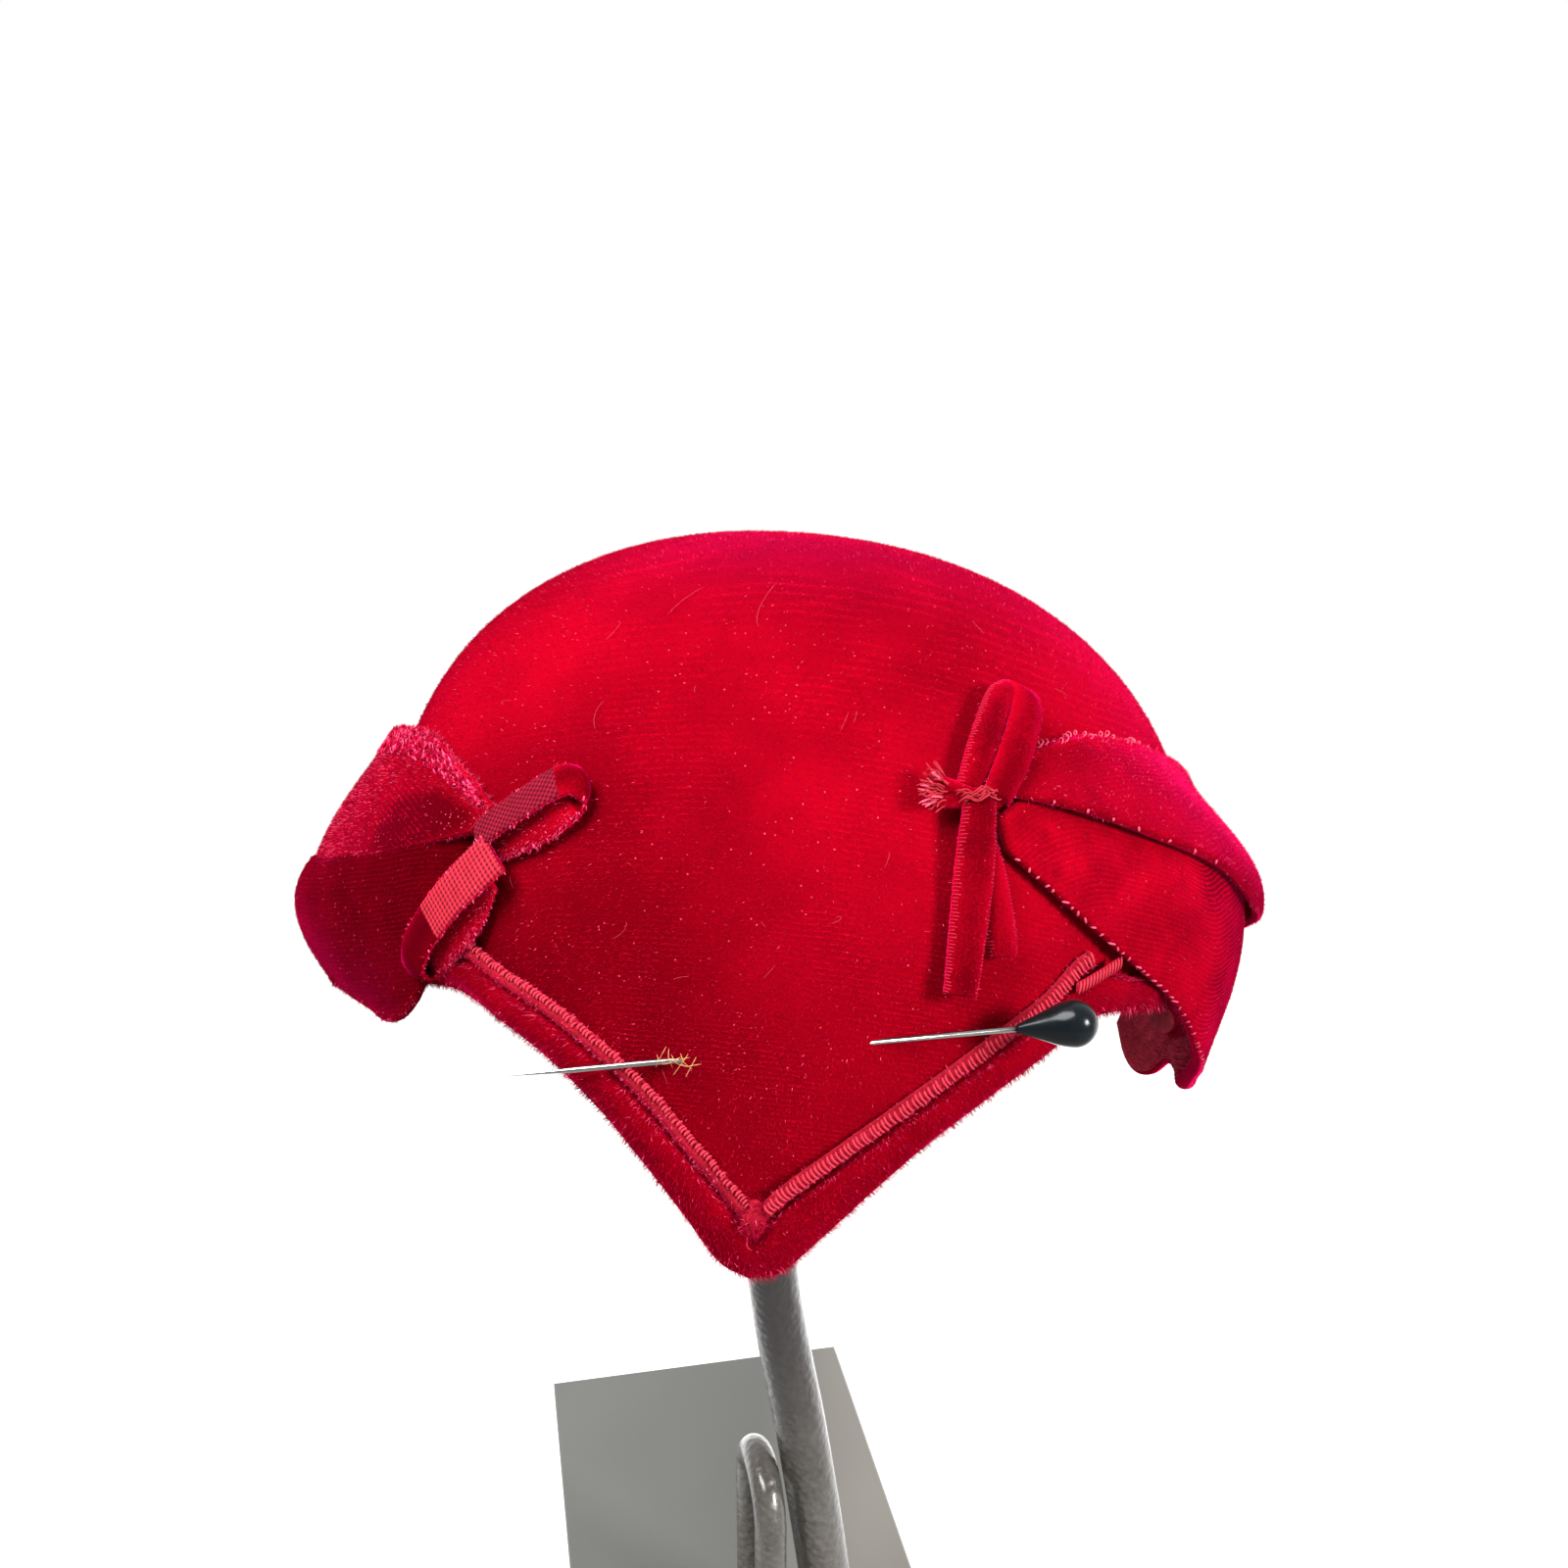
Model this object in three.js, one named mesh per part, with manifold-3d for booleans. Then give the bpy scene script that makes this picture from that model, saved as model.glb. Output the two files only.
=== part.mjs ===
// A red velvet toque with a pointed front, pleated side wings, ribbon bows and a hatpin, on a plain stand.
// Millimetres, +Z up, front towards -Y. The origin is the middle of the stand plate's underside.
// Left and right are as seen from the front. Hat pieces are placed by turn, in degrees round from the
// front and positive to the right, by height above the crown's widest line, and by off, the distance
// they stand out from the crown.

import * as THREE from "three";
import { mergeVertices } from "three/addons/utils/BufferGeometryUtils.js";
import Module from "manifold-3d";

// Crown: a dome over an oval, with upright sides below its widest line
const CROWN_SIDE = 87;
const CROWN_FRONT = 90;
const CROWN_BACK = 95;
const CROWN_RISE = 79;
const DOME_FULLNESS = 2.36;
const DOME_LEAN = -0.032;
const CROWN_WALL = 2.2;
const RIM_ROUNDING = 0.55;
const FRONT_REGION = 60;
const FRONT_STEP = 3;
const BACK_STEP = 6;
const OUTER_RINGS = 12;
const INNER_RINGS = 8;

// Clear space kept between pieces that lie on each other
const GAP = 0.35;

// Points closer than this are one point
const SAME_POINT = 0.0001;

// The rim and the edging line above it, on each side of the front point
const RIM = table("turn rimRight rimLeft edgingRight edgingLeft", [
  [0, -32.6, -32.6, -22, -22],
  [3.5, -31, -30, -15.5, -16],
  [8, -23.2, -21.6, -8.9, -8.7],
  [13, -14.2, -13.2, -2.2, -1.2],
  [19, -5, -4.8, 4.9, 5.2],
  [26, 2.8, 1.6, 11.8, 9.8],
  [33, 8.6, 4.8, 17.5, 12],
  [40, 13.2, 6.2, 23, 13.6],
  [48, 11.4, 2.4, 19, 10.5],
  [60, 5.4, -5, 13, 3],
  [75, -9, -17, 0, -8],
  [90, -22, -26, -13, -17],
  [130, -29, -30, -20, -21],
  [180, -30, -30, -21, -21],
]);
const BAND_THICKNESS = 2;
const BAND_EDGE = 1.2;
const BAND_OVERHANG = 0.8;

// Narrow ribbon edging above the band, its folded knot at the point and a second loose end
const EDGING_HALF = 1.5;
const EDGING_THICKNESS = 1.4;
const EDGING_EDGE = 0.8;
const EDGING_START = 2;
const EDGING_END = 40;
const KNOT_HALF_TURN = 1.6;
const KNOT_HALF_HEIGHT = 2;
const KNOT_HEIGHT = -20.8;
const KNOT_THICKNESS = 2.2;
const KNOT_TAPER = 0.6;
const TAIL = table("turn height", [
  [36.6, 19.4],
  [40, 20.4],
  [43.8, 21.6],
]);
const TAIL_HALF = 1.1;

// Pleats at the sides: heights of their top and bottom edges, and four offs from top to bottom
const WING_COLUMNS = "turn top bottom offTop offUpper offLower offBottom";
const WING_RIGHT_UPPER = table(WING_COLUMNS, [
  [30, 53.8, 50.8, 1.4, 1.9, 2.5, 3.1],
  [39, 55.6, 47.5, 1.4, 2.3, 3.4, 4.4],
  [50, 55.8, 41.5, 1.4, 2.8, 4.2, 5.4],
  [64, 51.6, 31.5, 1.5, 4, 6.5, 9.2],
  [75, 45.8, 20, 1.7, 4.6, 8.8, 12.2],
  [88, 37.4, 10, 1.9, 4.8, 8.2, 10.6],
  [104, 28, 3, 2, 4.8, 7.2, 8.6],
  [120, 16, -3, 1.9, 3.8, 5.2, 6],
  [138, -1, -7, 1.3, 1.7, 2.1, 2.5],
]);
const WING_RIGHT_LOWER = table(WING_COLUMNS, [
  [28.5, 47, 43.4, 1.3, 1.4, 1.5, 1.6],
  [34, 49.5, 36.6, 1.3, 1.5, 1.8, 2],
  [41, 50, 27.6, 1.4, 1.9, 2.4, 2.5],
  [48, 47, 18.9, 1.6, 2.8, 3.6, 3.3],
  [54, 43, 11, 2, 4, 5.2, 4.6],
  [64, 34, -6, 4, 7, 8.4, 6.6],
  [75, 23, -21.5, 8, 11, 9.6, 4],
  [82, 18, -29.5, 8, 10.4, 9.6, 4.2],
  [88, 14.2, -31, 7.3, 9.6, 9.1, 5],
  [94, 10.6, -33, 6.2, 8.6, 8.4, 4.6],
  [99, 7.6, -41, 5.2, 7.8, 7.8, 4.4],
  [104, 5.2, -45.5, 4.6, 7.2, 7.2, 4.2],
  [108, 3.4, -44.5, 4.2, 6.8, 6.8, 4],
  [111, 2, -39, 4, 6.4, 6.4, 3.8],
]);
const WING_LEFT_UPPER = table(WING_COLUMNS, [
  [39.5, 38.2, 35.2, 1.4, 1.8, 2.2, 2.8],
  [46, 40.6, 30.4, 1.6, 2.8, 3.8, 4.4],
  [59.5, 42.4, 20, 2, 4.2, 6.6, 8.6],
  [70, 38.8, 12, 2.6, 5.4, 9, 12],
  [75, 36.2, 9.5, 2.8, 5.8, 9.8, 13.2],
  [88, 29, 2, 2.6, 5.4, 8.8, 11.4],
  [104, 21, -4, 2.4, 4.8, 7.2, 8.8],
  [120, 12, -8, 2, 3.8, 5.4, 6.2],
  [138, -4, -9.5, 1.3, 1.7, 2.1, 2.5],
]);
const WING_LEFT_LOWER = table(WING_COLUMNS, [
  [46.5, 27.5, 20, 1.3, 2, 2.7, 3.1],
  [48, 26.2, 6, 2.4, 3.4, 4.2, 4.2],
  [50, 24.8, -3.6, 3.4, 4.6, 5, 4.4],
  [54, 21.6, -9.4, 5, 6.6, 6.4, 4.6],
  [58, 18.6, -10, 6.6, 9.2, 8.4, 5.6],
  [62, 15.5, -11, 9, 12, 11, 7],
  [69, 10.2, -14, 12.4, 15.8, 14, 9],
  [75, 6.9, -18, 14.6, 17.7, 15.2, 10.4],
  [82, 2.6, -19.5, 14.2, 17, 14.6, 9.8],
  [90, -1.8, -22.5, 12.4, 14, 12.2, 8.2],
  [98, -4.5, -25, 10.2, 11, 9.6, 6.6],
  [107, -7.6, -25.5, 8.4, 8.6, 7.6, 5.2],
  [114, -9.4, -23, 7, 6.8, 6, 4.4],
  [119, -10.6, -18.5, 5.6, 5.2, 4.8, 4],
]);
const PLEAT_THICKNESS = 1.6;
const FOLD_THICKNESS = 1.8;
const WING_STEP = 5;
const WING_SPOTS = 6;

// Ribbon bows: each ribbon leaves its knot along a heading, in degrees from straight up
const RIBBON_WIDTH = 7.4;
const NARROW_RIBBON = 5.4;
const RIBBON_THICKNESS = 1;
const RIBBON_COLUMNS = "along lift shift";
const LEFT_KNOT = { turn: -38.4, height: 32.6 };
const RIGHT_KNOT = { turn: 25.5, height: 49.8 };
const RIBBONS = [
  {
    name: "bow_left_upper_loop",
    knot: LEFT_KNOT,
    heading: 41,
    width: RIBBON_WIDTH,
    steps: 16,
    path: table(RIBBON_COLUMNS, [
      [2, 1.3, 0],
      [10, 1.5, 0],
      [18, 2.2, 0],
      [22.6, 4.8, 0],
      [18, 7.6, 0],
      [10, 7, 0],
      [2, 4.4, 0],
    ]),
  },
  {
    name: "bow_left_lower_loop",
    knot: LEFT_KNOT,
    heading: -162,
    width: RIBBON_WIDTH,
    steps: 16,
    path: table(RIBBON_COLUMNS, [
      [4, 1.3, 0],
      [12, 2, 0],
      [22, 3.6, 0],
      [29.4, 6.4, 0],
      [23, 9.2, 0],
      [12, 7.6, 0],
      [2, 4.6, 0],
    ]),
  },
  {
    name: "bow_right_loop",
    knot: RIGHT_KNOT,
    heading: 36,
    width: RIBBON_WIDTH,
    steps: 16,
    path: table(RIBBON_COLUMNS, [
      [2.6, 5, 1],
      [10, 4.3, 2],
      [20, 3.5, 2.4],
      [25.4, 5, 0.2],
      [20, 6.8, -2.2],
      [10, 7.2, -2],
      [2.6, 7, -0.6],
    ]),
  },
  {
    name: "bow_right_long_tail",
    knot: RIGHT_KNOT,
    heading: -168,
    width: RIBBON_WIDTH,
    steps: 8,
    path: table(RIBBON_COLUMNS, [
      [1, 4.6, 0],
      [10, 3.8, 0],
      [20, 3.4, 0],
      [31, 4.6, 0],
    ]),
  },
  {
    name: "bow_right_short_tail",
    knot: RIGHT_KNOT,
    heading: 176,
    width: NARROW_RIBBON,
    steps: 8,
    path: table(RIBBON_COLUMNS, [
      [2, 1.4, 0],
      [10, 1.4, 0],
      [18, 1.6, 0],
      [25, 2.4, 0],
    ]),
  },
  {
    name: "bow_right_stub",
    knot: RIGHT_KNOT,
    heading: -72,
    width: RIBBON_WIDTH,
    steps: 4,
    path: table(RIBBON_COLUMNS, [
      [0, 3, 0],
      [5, 2, 0],
      [10, 2.6, 0],
    ]),
  },
];

// Hatpin: it goes into the crown's front at one spot and comes out at another
const PIN_ENTRY = { turn: 11, height: 12.5 };
const PIN_EXIT = { turn: -8.5, height: 6.7 };
const PIN_RADIUS = 0.55;
const PIN_POINT = 6;
const PIN_SIDES = 10;
const PIN_HEAD_REACH = 25;
const PIN_TIP_REACH = 58;
const PIN_CHANNEL = PIN_RADIUS + GAP;
const BEAD_SIDES = 14;
const BEAD = table("along radius", [
  [0, 0.7],
  [1.5, 1.3],
  [4, 2.3],
  [7, 3.5],
  [9.4, 4],
  [11.4, 3.6],
  [12.8, 2.2],
  [13.4, 0],
]);

// The hat's place on the stand, rolled a little to one side
const HAT_CENTRE = new THREE.Vector3(13.2, -24.5, 228);
const HAT_ROLL = 5;

// Stand: a turned plate, a stem bent under the hat and an arched rod beside the stem
const PLATE_WIDTH = 97;
const PLATE_DEPTH = 200;
const PLATE_THICKNESS = 4;
const PLATE_BEVEL = 0.5;
const PLATE_TURN = 14.3;
const STEM_FOOT_RADIUS = 6.9;
const STEM_TOP_RADIUS = 5.4;
const STEM_SIDES = 14;
const STEM_STEPS = 18;
const STEM_END_STEPS = 4;
const STEM_SEAT = { turn: -90, height: 77.6 };
const STEM_SEAT_GAP = 0.8;
const STEM = table("height across", [
  [0, 27],
  [45, 21.5],
  [83, 16.2],
  [122, 9.9],
  [160, 6.6],
  [210, 5.4],
  [300, 5.4],
]);
const CURL_RADIUS = 4;
const CURL_SIDES = 10;
const CURL_STEPS = 26;
const CURL_HALF_SPAN = 11;
const CURL_STRAIGHT = 62;
const CURL_ARC_STEPS = 6;
const CURL_FRONT_ACROSS = 9;
const CURL_BACK_ACROSS = 2.5;

const wasm = await Module();
wasm.setup();

const up = new THREE.Vector3(0, 0, 1);

// Tables: rows with named columns, read with a smooth curve through the rows
function table(columns, rows) {
  const names = columns.split(" ");
  return rows.map((row) => Object.fromEntries(row.map((value, i) => [names[i], value])));
}

function valueAt(rows, column, place, key = "turn") {
  const last = rows.length - 1;
  const at = THREE.MathUtils.clamp(place, rows[0][key], rows[last][key]);
  const i = Math.min(
    rows.findLastIndex((row) => row[key] <= at),
    last - 1,
  );
  const slope = (k) => {
    const before = rows[Math.max(k - 1, 0)];
    const after = rows[Math.min(k + 1, last)];
    return (after[column] - before[column]) / (after[key] - before[key]);
  };
  const step = rows[i + 1][key] - rows[i][key];
  const f = (at - rows[i][key]) / step;
  const g = 1 - f;
  const ends = rows[i][column] * g * g * (1 + 2 * f) + rows[i + 1][column] * f * f * (3 - 2 * f);
  return ends + step * f * g * (slope(i) * g - slope(i + 1) * f);
}

// Closed solids from loops of points, joined in turn and closed as a ring, with flat ends or at two poles
function solidFromLoops(loops, ends) {
  const count = loops[0].length;
  const last = loops.length - 1;
  const points = loops.flat();
  const faces = [];
  const joinLoops = (a, b) => {
    for (let i = 0; i < count; i++) {
      const j = (i + 1) % count;
      faces.push([a * count + i, b * count + i, b * count + j]);
      faces.push([a * count + i, b * count + j, a * count + j]);
    }
  };
  const capLoop = (k, reversed) => {
    const add = (a, b, c) => {
      const face = [a, b, c].map((i) => k * count + (i % count));
      faces.push(reversed ? face.reverse() : face);
    };
    for (let i = 0; i < count / 2; i++) {
      if (i > 0) add(i, i + 1, count - i);
      if (i + 1 < count / 2) add(i + 1, count - i - 1, count - i);
    }
  };
  const closePole = (k, pole, reversed) => {
    points.push(pole);
    for (let i = 0; i < count; i++) {
      const face = [points.length - 1, k * count + i, k * count + ((i + 1) % count)];
      faces.push(reversed ? face.reverse() : face);
    }
  };
  for (let k = 0; k < last; k++) joinLoops(k, k + 1);
  if (ends === "ring") joinLoops(last, 0);
  if (ends === "flat") {
    capLoop(0, false);
    capLoop(last, true);
  }
  if (Array.isArray(ends)) {
    closePole(0, ends[0], false);
    closePole(last, ends[1], true);
  }
  let volume = 0;
  for (const [a, b, c] of faces) {
    volume += points[a].dot(new THREE.Vector3().crossVectors(points[b], points[c]));
  }
  if (volume < 0) faces.forEach((face) => face.reverse());
  return new THREE.BufferGeometry()
    .setAttribute("position", new THREE.Float32BufferAttribute(points.flatMap((p) => [p.x, p.y, p.z]), 3))
    .setIndex(faces.flat());
}

function manifoldOf(geometry) {
  const bare = geometry.clone();
  bare.deleteAttribute("normal");
  bare.deleteAttribute("uv");
  const merged = mergeVertices(bare, SAME_POINT);
  const vertProperties = new Float32Array(merged.attributes.position.array);
  const triVerts = new Uint32Array(merged.index.array);
  return new wasm.Manifold(new wasm.Mesh({ numProp: 3, vertProperties, triVerts }));
}

function cutAway(geometry, tool) {
  const mesh = manifoldOf(geometry).subtract(manifoldOf(tool)).getMesh();
  return new THREE.BufferGeometry()
    .setAttribute("position", new THREE.BufferAttribute(mesh.vertProperties, 3))
    .setIndex(new THREE.BufferAttribute(mesh.triVerts, 1));
}

// Crown surface
function spotAndNormal(turn, height) {
  const angle = THREE.MathUtils.degToRad(turn);
  const depth = Math.cos(angle) > 0 ? CROWN_FRONT : CROWN_BACK;
  const lift = Math.max(height, 0) / CROWN_RISE;
  const reach = Math.pow(Math.max(1 - Math.pow(lift, DOME_FULLNESS), 0), 1 / DOME_FULLNESS);
  const across = CROWN_SIDE * reach * Math.sin(angle);
  const along = -depth * reach * Math.cos(angle);
  const spot = new THREE.Vector3(across + DOME_LEAN * Math.max(height, 0), along, height);
  const weight = Math.pow(reach, DOME_FULLNESS - 2);
  const normal = new THREE.Vector3(
    (weight * across) / CROWN_SIDE ** 2,
    (weight * along) / depth ** 2,
    Math.pow(lift, DOME_FULLNESS - 1) / CROWN_RISE,
  );
  if (height > 0) normal.z -= DOME_LEAN * normal.x;
  return { spot, normal: normal.normalize() };
}

function crownSpot(turn, height, off) {
  const { spot, normal } = spotAndNormal(turn, height);
  return spot.addScaledVector(normal, off);
}

// The point of the upper crown under a free point, lifted off it
function overCrown(point, lift) {
  const across = point.x - DOME_LEAN * point.z;
  const depth = point.y < 0 ? CROWN_FRONT : CROWN_BACK;
  const reach = Math.hypot(across / CROWN_SIDE, point.y / depth);
  const size = Math.pow(
    Math.pow(reach, DOME_FULLNESS) + Math.pow(point.z / CROWN_RISE, DOME_FULLNESS),
    1 / DOME_FULLNESS,
  );
  const turn = THREE.MathUtils.radToDeg(Math.atan2(across / CROWN_SIDE, -point.y / depth));
  return crownSpot(turn, point.z / size, lift);
}

// How far a height lies down the crown from its top, and the height at such a distance
function runTo(height) {
  if (height > 0) return Math.acos(Math.pow(height / CROWN_RISE, DOME_FULLNESS / 2));
  return Math.PI / 2 - height / CROWN_SIDE;
}

function heightAlong(run) {
  if (run < Math.PI / 2) return CROWN_RISE * Math.pow(Math.cos(run), 2 / DOME_FULLNESS);
  return (Math.PI / 2 - run) * CROWN_SIDE;
}

function rimHeight(turn) {
  return valueAt(RIM, turn < 0 ? "rimLeft" : "rimRight", Math.abs(turn));
}

function edgingHeight(turn) {
  return valueAt(RIM, turn < 0 ? "edgingLeft" : "edgingRight", Math.abs(turn));
}

// Half of the edging's upright width, which grows where its line is steep
function edgingReach(turn) {
  const away = Math.max(Math.abs(turn), EDGING_START) * (turn < 0 ? -1 : 1);
  const rise = edgingHeight(away + 1) - edgingHeight(away - 1);
  const run = THREE.MathUtils.degToRad(2) * CROWN_SIDE;
  return EDGING_HALF * Math.hypot(1, rise / run);
}

function turnsAround() {
  const turns = [];
  let turn = -180;
  while (turn < 180) {
    turns.push(turn);
    const inFront = turn >= -FRONT_REGION && turn < FRONT_REGION;
    turn += inFront ? FRONT_STEP : BACK_STEP;
  }
  return turns;
}

function evenSteps(from, to, step) {
  const count = Math.ceil(Math.abs(to - from) / step);
  return Array.from({ length: count + 1 }, (_, i) => from + ((to - from) * i) / count);
}

// A closed section through a sheet of cloth, whose spots run from its top edge to its bottom edge
function sheetSection(turn, spots) {
  const top = spots[0];
  const bottom = spots[spots.length - 1];
  return [
    crownSpot(turn, top.height + top.thick / 2, top.off),
    ...spots.map((spot) => crownSpot(turn, spot.height, spot.off + spot.thick / 2)),
    crownSpot(turn, bottom.height - bottom.thick / 2, bottom.off),
    ...spots.map((spot) => crownSpot(turn, spot.height, spot.off - spot.thick / 2)).reverse(),
  ];
}

function crownShape() {
  const turns = turnsAround();
  const heightOf = (turn, f) => heightAlong(runTo(rimHeight(turn)) * f);
  const ring = (f, off) => turns.map((turn) => crownSpot(turn, heightOf(turn, f), off));
  const loops = [];
  for (let k = 1; k <= OUTER_RINGS; k++) loops.push(ring(k / OUTER_RINGS, 0));
  loops.push(turns.map((turn) => crownSpot(turn, rimHeight(turn) - RIM_ROUNDING, -CROWN_WALL / 2)));
  for (let k = INNER_RINGS; k >= 1; k--) loops.push(ring(k / INNER_RINGS, -CROWN_WALL));
  const poles = [crownSpot(0, CROWN_RISE, 0), crownSpot(0, CROWN_RISE, -CROWN_WALL)];
  return cutAway(solidFromLoops(loops, poles), pinTube(PIN_CHANNEL, -PIN_TIP_REACH, PIN_HEAD_REACH));
}

function bandShape() {
  const off = GAP + BAND_THICKNESS / 2;
  const loops = turnsAround().map((turn) => {
    const top = edgingHeight(turn) - edgingReach(turn) - GAP - BAND_EDGE / 2;
    const bottom = rimHeight(turn) - BAND_OVERHANG + BAND_EDGE / 2;
    return sheetSection(turn, [
      { height: top, off: GAP + BAND_EDGE / 2, thick: BAND_EDGE },
      { height: (top + bottom) / 2, off, thick: BAND_THICKNESS },
      { height: bottom, off: GAP + BAND_EDGE / 2, thick: BAND_EDGE },
    ]);
  });
  return solidFromLoops(loops, "ring");
}

function edgingSection(turn, height, half, floor) {
  return sheetSection(turn, [
    { height: height + half - EDGING_EDGE / 2, off: floor + EDGING_EDGE / 2, thick: EDGING_EDGE },
    { height, off: floor + EDGING_THICKNESS / 2, thick: EDGING_THICKNESS },
    { height: height - half + EDGING_EDGE / 2, off: floor + EDGING_EDGE / 2, thick: EDGING_EDGE },
  ]);
}

function edgingShape(side) {
  const turns = evenSteps(EDGING_START * side, EDGING_END * side, FRONT_STEP);
  const loops = turns.map((turn) => edgingSection(turn, edgingHeight(turn), edgingReach(turn), GAP));
  return solidFromLoops(loops, "flat");
}

function edgingKnotShape() {
  const turns = evenSteps(-KNOT_HALF_TURN, KNOT_HALF_TURN, KNOT_HALF_TURN / 2);
  const loops = turns.map((turn) => {
    const size = 1 - KNOT_TAPER * (turn / KNOT_HALF_TURN) ** 2;
    const half = KNOT_HALF_HEIGHT * size - EDGING_EDGE / 2;
    const thick = KNOT_THICKNESS * size;
    return sheetSection(turn, [
      { height: KNOT_HEIGHT + half, off: GAP + EDGING_EDGE / 2, thick: EDGING_EDGE },
      { height: KNOT_HEIGHT, off: GAP + thick / 2, thick },
      { height: KNOT_HEIGHT - half, off: GAP + EDGING_EDGE / 2, thick: EDGING_EDGE },
    ]);
  });
  return solidFromLoops(loops, "flat");
}

function edgingTailShape() {
  const floor = GAP + BAND_THICKNESS + GAP;
  const turns = evenSteps(TAIL[0].turn, TAIL[TAIL.length - 1].turn, FRONT_STEP);
  const loops = turns.map((turn) => edgingSection(turn, valueAt(TAIL, "height", turn), TAIL_HALF, floor));
  return solidFromLoops(loops, "flat");
}

// A pleat's off from the crown, on the cubic through its four offs
function pleatOff(rows, turn, f) {
  const names = ["offTop", "offUpper", "offLower", "offBottom"];
  const place = f * (names.length - 1);
  return names.reduce((sum, name, i) => {
    let weight = 1;
    for (let k = 0; k < names.length; k++) {
      if (k !== i) weight *= (place - k) / (i - k);
    }
    return sum + weight * valueAt(rows, name, turn);
  }, 0);
}

function wingShape(rows, side, foldThickness) {
  const turns = evenSteps(rows[0].turn, rows[rows.length - 1].turn, WING_STEP);
  const loops = turns.map((turn) => {
    const top = valueAt(rows, "top", turn);
    const bottom = valueAt(rows, "bottom", turn);
    const spots = Array.from({ length: WING_SPOTS }, (_, i) => {
      const f = i / (WING_SPOTS - 1);
      const thick = THREE.MathUtils.lerp(PLEAT_THICKNESS, foldThickness, f ** 3);
      return { height: THREE.MathUtils.lerp(top, bottom, f), off: pleatOff(rows, turn, f), thick };
    });
    return sheetSection(turn * side, spots);
  });
  return solidFromLoops(loops, "flat");
}

function ribbonShape({ knot, heading, width, steps, path }) {
  const { spot, normal } = spotAndNormal(knot.turn, knot.height);
  const angle = THREE.MathUtils.degToRad(heading);
  const rise = up.clone().addScaledVector(normal, -normal.z).normalize();
  const side = new THREE.Vector3().crossVectors(rise, normal);
  const ahead = rise.clone().multiplyScalar(Math.cos(angle)).addScaledVector(side, Math.sin(angle));
  const beside = new THREE.Vector3().crossVectors(ahead, normal);
  const stations = path.map((row) => new THREE.Vector3(row.along, row.shift, row.lift));
  const curve = new THREE.CatmullRomCurve3(stations);
  const half = width / 2;
  const thin = RIBBON_THICKNESS / 2;
  const outline = [
    [-half, 0],
    [-half + thin, thin],
    [0, thin],
    [half - thin, thin],
    [half, 0],
    [half - thin, -thin],
    [0, -thin],
    [-half + thin, -thin],
  ];
  const loops = evenSteps(0, 1, 1 / steps).map((f) => {
    const at = curve.getPointAt(f);
    const tangent = curve.getTangentAt(f);
    const level = Math.hypot(tangent.x, tangent.z);
    return outline.map(([across, out]) => {
      const along = at.x - (tangent.z / level) * out;
      const lift = at.z + (tangent.x / level) * out;
      const flat = spot.clone().addScaledVector(ahead, along).addScaledVector(beside, at.y + across);
      return overCrown(flat, lift);
    });
  });
  return solidFromLoops(loops, "flat");
}

// Hatpin pieces, made along the line through the two spots where it passes the crown
function pinFrame() {
  const entry = crownSpot(PIN_ENTRY.turn, PIN_ENTRY.height, -PIN_CHANNEL);
  const exit = crownSpot(PIN_EXIT.turn, PIN_EXIT.height, -PIN_CHANNEL);
  const direction = entry.clone().sub(exit).normalize();
  const turned = new THREE.Quaternion().setFromUnitVectors(new THREE.Vector3(0, 1, 0), direction);
  return new THREE.Matrix4().compose(entry, turned, new THREE.Vector3(1, 1, 1));
}

function latheAlongPin(profile, sides) {
  return new THREE.LatheGeometry(profile, sides).applyMatrix4(pinFrame());
}

function pinTube(radius, from, to) {
  const profile = [
    new THREE.Vector2(0, from),
    new THREE.Vector2(radius, from),
    new THREE.Vector2(radius, to),
    new THREE.Vector2(0, to),
  ];
  return latheAlongPin(profile, PIN_SIDES);
}

function pinShaftShape() {
  const profile = [
    new THREE.Vector2(0, -PIN_TIP_REACH),
    new THREE.Vector2(PIN_RADIUS, -PIN_TIP_REACH + PIN_POINT),
    new THREE.Vector2(PIN_RADIUS, PIN_HEAD_REACH - GAP),
    new THREE.Vector2(0, PIN_HEAD_REACH - GAP),
  ];
  return latheAlongPin(profile, PIN_SIDES);
}

function beadShape() {
  const profile = BEAD.map((row) => new THREE.Vector2(row.radius, PIN_HEAD_REACH + row.along));
  return latheAlongPin([new THREE.Vector2(0, PIN_HEAD_REACH), ...profile], BEAD_SIDES);
}

// Stand pieces
function plateShape() {
  const x = PLATE_WIDTH / 2 - PLATE_BEVEL;
  const y = PLATE_DEPTH / 2 - PLATE_BEVEL;
  const corners = [
    [-x, -y],
    [x, -y],
    [x, y],
    [-x, y],
  ];
  const outline = new THREE.Shape(corners.map(([across, along]) => new THREE.Vector2(across, along)));
  return new THREE.ExtrudeGeometry(outline, {
    depth: PLATE_THICKNESS - 2 * PLATE_BEVEL,
    bevelThickness: PLATE_BEVEL,
    bevelSize: PLATE_BEVEL,
    bevelSegments: 1,
  })
    .translate(0, 0, PLATE_BEVEL)
    .rotateZ(THREE.MathUtils.degToRad(PLATE_TURN));
}

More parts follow.
